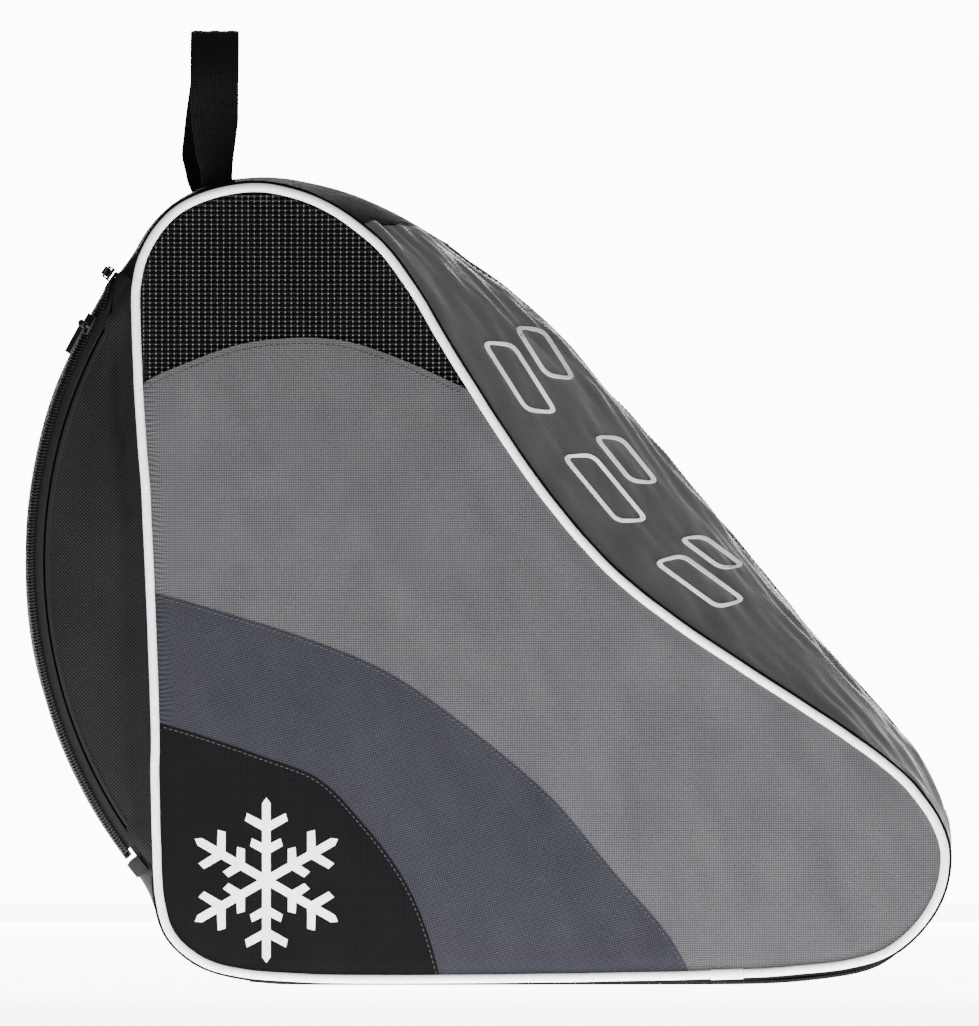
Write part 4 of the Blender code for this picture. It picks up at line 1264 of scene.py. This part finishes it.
crest_line = resample(np.vstack([outline, outline[:1]]), 3 * mm)
crest_heading = np.gradient(crest_line, axis=0)
crest_heading /= np.linalg.norm(crest_heading, axis=1, keepdims=True)
for side, name in ((-1, "front"), (1, "rear")):
    places = []
    for (x, z), (tx, tz) in zip(crest_line, crest_heading):
        if x > -0.08 and z > 0.02:
            out = Vector((tz, 0, -tx))
            places.append((Vector((x, side * 4 * mm, z)) + out * 0.1, -out))
    piece = repeat_shape(f"crest_stitches_{name}", stitch_points, stitch_faces, slope_row(places, side),
                         (2.2 * mm, 0.5 * mm, 0.7 * mm))
    settle(piece, "bag", "satin_nylon", black_thread)

# %% [markdown]
# ## Prints
# Two generic prints in white ink: a six-armed snow crystal on the corner, and outlined slanted bars down the slope.
# The crystal's rim is worked out for half an arm and turned round. Dense slabs let the ink follow the cloth.


# %% Snow crystal
def crystal_rim(middle, reach, width):
    """Rim of a six-armed snow crystal round a middle point."""
    half = width / 2
    arm = [(0.866 * width, half)]
    for at, length in ((0.33, 0.17), (0.60, 0.24)):
        start = at * reach
        arm += [(start, half), (start + length * reach * 0.5, half + length * reach * 0.866),
                (start + length * reach * 0.5 + width * 0.9, half + length * reach * 0.866 - width * 0.25),
                (start + width * 1.15, half)]
    arm += [(reach * 0.93, half), (reach, 0.0)]
    rim = []
    for k in range(6):
        turn = math.radians(60 * k + 30)
        full = [(a, -b) for a, b in arm] + [(a, b) for a, b in arm[-2::-1]]
        rim += [(middle[0] + a * math.cos(turn) - b * math.sin(turn),
                 middle[1] + a * math.sin(turn) + b * math.cos(turn)) for a, b in full[1:]]
    return np.array(rim)


corner_low, corner_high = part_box("side_corner_front")
crystal_middle = (corner_low.x + 55 * mm, corner_low.z + 48.5 * mm)
for side, name in ((-1, "front"), (1, "rear")):
    rim = crystal_rim(crystal_middle, 43 * mm, 4.4 * mm)
    piece = slab(f"crystal_print_{name}", side, rim.min(0) - 1 * mm, rim.max(0) + 1 * mm, 3 * mm, 0.3 * mm)
    keep_inside(piece, prism("cutter", rim, -0.15 if side < 0 else 0.05, -0.05 if side < 0 else 0.15))
    lay_on_side(piece, side, 0.35 * mm * 3 + 0.2 * mm)
    settle(smooth(piece), "bag", "white_piping", white_ink)

# %% Slanted bars down the slope
satin = bpy.data.objects["slope_satin_front"]
satin_tree = BVHTree.FromPolygons([v.co[:] for v in satin.data.vertices], [p.vertices[:] for p in satin.data.polygons])


def rounded_bar(middle, along, length, height, slant, corner_radius):
    """Rim of a slanted bar with round corners, in (x, z)."""
    across = np.array([-along[1], along[0]])
    corners = [(-length / 2 - slant, -height / 2), (length / 2 - slant, -height / 2),
               (length / 2 + slant, height / 2), (-length / 2 + slant, height / 2)]
    rim = []
    for k, corner_point in enumerate(corners):
        here, before, after = (np.array(corners[(k + j) % 4]) for j in (0, -1, 1))
        start = here + (before - here) / np.linalg.norm(before - here) * corner_radius
        end = here + (after - here) / np.linalg.norm(after - here) * corner_radius
        for t in np.linspace(0, 1, 6):
            a, b = (1 - t) ** 2 * start + 2 * t * (1 - t) * here + t * t * end
            rim.append(np.array(middle) + along * a + across * b)
    return np.array(rim)


def bar_print(name, middle, along, length, height):
    """Outlined bar laid onto the front satin."""
    outer = rounded_bar(middle, along, length, height, 5 * mm, 5.5 * mm)
    inner = rounded_bar(middle, along, length - 4.4 * mm, height - 3.8 * mm, 4.2 * mm, 3.8 * mm)
    piece = slab(name, -1, outer.min(0) - 1 * mm, outer.max(0) + 1 * mm, 2 * mm, 0.4 * mm)
    keep_inside(piece, prism("cutter", outer, -0.15, -0.05))
    cutter = prism("cutter", inner, -0.15, -0.05)
    bake(piece, "BOOLEAN", operation="DIFFERENCE", object=cutter, solver="EXACT")
    bpy.data.objects.remove(cutter)
    points = points_of(piece)
    front = points[:, 1] < points[:, 1].mean()
    for k, p in enumerate(points):
        hit, normal, _, _ = satin_tree.ray_cast(Vector((p[0], -0.2, p[2])), Vector((0, 1, 0)))
        if hit is None:
            hit, normal, _, _ = satin_tree.find_nearest(Vector((p[0], -0.03, p[2])))
        if normal.y > 0:
            normal = -normal
        points[k] = hit + normal * (0.4 * mm if front[k] else 0.1 * mm)
    set_points(piece, points)
    return smooth(piece, 60)


slope_part = outline[(outline[:, 0] > -0.03) & (outline[:, 1] > 0.12)]
slope_line = resample(slope_part[np.argsort(slope_part[:, 0])], 1 * mm)
bar_places = [(48, 24, 44, 14), (44, 42, 32, 13), (124, 27, 46, 14), (119, 45, 32, 12), (200, 25, 42, 13), (196, 41, 28, 10)]
for k, (at, away, length, height) in enumerate(bar_places):
    here = slope_line[at]
    ahead = slope_line[at + 25] - slope_line[at - 25]
    ahead /= np.linalg.norm(ahead)
    middle = here + np.array([-ahead[1], ahead[0]]) * away * mm
    piece = bar_print(f"slope_bar_print_{k + 1}", middle, ahead, length * mm, height * mm)
    settle(piece, "bag", "white_piping", white_ink)

# %% [markdown]
# The flat size each sheet was cut to is worked out and printed.
# The cut size is worked back from the sewn surface, because a swollen panel was cut a little larger than its seams.

# %% Sheets
def flat_size(piece):
    """Width, length and area (m, m, m2) of a piece's cut map."""
    layer = piece.data.uv_layers["cut"]
    uv = np.empty(len(layer.data) * 2)
    layer.data.foreach_get("uv", uv)
    uv = uv.reshape(-1, 2)
    area = 0.0
    for face in piece.data.polygons:
        loop = uv[face.loop_start:face.loop_start + face.loop_total]
        after = np.roll(loop, -1, 0)
        area += abs(np.sum(loop[:, 0] * after[:, 1] - after[:, 0] * loop[:, 1])) / 2
    width, length = np.ptp(uv, axis=0)
    return float(width), float(length), float(area / 2)


sheets = {}
sheet_words = ("side_panel_cloth", "side_band_cloth", "side_corner_cloth", "lining_cloth", "slope_satin", "top_cloth",
               "heel_cloth", "base_cloth", "bulge_cloth", "door_cloth")
for piece in list(bpy.data.objects):
    if piece.name.startswith(sheet_words):
        width, length, cut_area = flat_size(piece)
        made = sum(p.area for p in piece.data.polygons) / 2
        grow = math.sqrt(max(made / cut_area, 1.0))
        flat = (width * grow, length * grow)
        area = min(made, flat[0] * flat[1])
        sheets[piece.name] = [round(flat[0], 4), round(flat[1], 4), round(area, 5)]
sheets["webbing_loop"] = [round(2 * half_width, 4), round(strap_length, 4)]
for name, size in sheets.items():
    print(name, size)

# %% [markdown]
# ## Studio
# A pale floor, four large soft lights, and a long lens square to the side.

# %% Floor, lights and camera
bpy.ops.object.select_all(action="DESELECT")
bpy.ops.mesh.primitive_plane_add(size=8)
floor = bpy.context.object
floor.name = "studio_floor"
paper, paper_tree, paper_shader = new_material("white_studio_paper", 0.9, Specular_IOR_Level=0.1)
# The paper glows, weak in front of the bag, strong behind it and fading to the sides, so it comes out white; the same
# glow lights the bag from below and behind, as painted light from a floor that is no lamp.
paper_shader.inputs["Base Color"].default_value = linear("#f4f4f4")
paper_place = node(paper_tree, "ShaderNodeTexCoord").outputs["Object"]
paper_axes = node(paper_tree, "ShaderNodeSeparateXYZ", Vector=paper_place)
glow = node(paper_tree, "ShaderNodeMapRange", Value=paper_axes.outputs["Y"], From_Min=-2.2, From_Max=-0.4, To_Min=2.0,
            To_Max=9.0)
paper_shader.inputs["Emission Color"].default_value = linear("#ffffff")
wide = node(paper_tree, "ShaderNodeMath", {"operation": "ABSOLUTE"}, i0=paper_axes.outputs["X"])
sideways = node(paper_tree, "ShaderNodeMapRange", Value=wide.outputs[0], From_Min=0.5, From_Max=0.9, To_Min=1.0, To_Max=0.05)
floor_glow = node(paper_tree, "ShaderNodeMath", {"operation": "MULTIPLY"}, i0=sideways.outputs[0], i1=glow.outputs[0])
# The camera also sees the rest of the floor as white, which gives the bag no light.
paper_seen = node(paper_tree, "ShaderNodeLightPath").outputs["Is Camera Ray"]
paper_white = node(paper_tree, "ShaderNodeMath", {"operation": "MULTIPLY"}, i0=paper_seen, i1=6.0)
floor_glow = node(paper_tree, "ShaderNodeMath", {"operation": "MAXIMUM"}, i0=floor_glow.outputs[0], i1=paper_white.outputs[0])
paper_tree.links.new(floor_glow.outputs[0], paper_shader.inputs["Emission Strength"])
floor.data.materials.append(paper)


def softbox(name, place, target, size, power):
    lamp = bpy.data.lights.new(name, "AREA")
    lamp.shape = "RECTANGLE"
    lamp.size, lamp.size_y = size
    lamp.energy = power
    holder = bpy.data.objects.new(name, lamp)
    bpy.context.collection.objects.link(holder)
    holder.location = place
    holder.rotation_euler = (Vector(target) - Vector(place)).to_track_quat("-Z", "Y").to_euler()


softbox("key_softbox", (-1.3, -2.2, 1.5), (0, 0, 0.2), (1.4, 1.4), 32)
softbox("fill_softbox", (1.6, -2.0, 0.9), (0, 0, 0.2), (1.4, 1.4), 5)
softbox("top_softbox", (0.3, 0.2, 2.2), (0, 0, 0.2), (2.2, 1.8), 14)
softbox("back_softbox", (0, 3.0, 0.5), (0, 0, 0.5), (1.8, 1.4), 95)
world = bpy.data.worlds.new("studio_white")
world.use_nodes = True
world.node_tree.nodes["Background"].inputs["Color"].default_value = linear("#ffffff")
# The camera sees a white studio all round, while only a little light comes from it.
seen = world.node_tree.nodes.new("ShaderNodeLightPath").outputs["Is Camera Ray"]
strength = node(world.node_tree, "ShaderNodeMath", {"operation": "MULTIPLY_ADD"}, i0=seen, i1=12.0, i2=0.15)
world.node_tree.links.new(strength.outputs[0], world.node_tree.nodes["Background"].inputs["Strength"])
bpy.context.scene.world = world

camera_data = bpy.data.cameras.new("long_lens")
camera_distance = 20.0
camera_data.lens = 67.48 * camera_distance
camera_data.sensor_width = 36
camera = bpy.data.objects.new("long_lens", camera_data)
bpy.context.collection.objects.link(camera)
camera.location = (0.0011, side_y - camera_distance, 0.2454)
camera.rotation_euler = (math.pi / 2, 0, 0)
bpy.context.scene.camera = camera
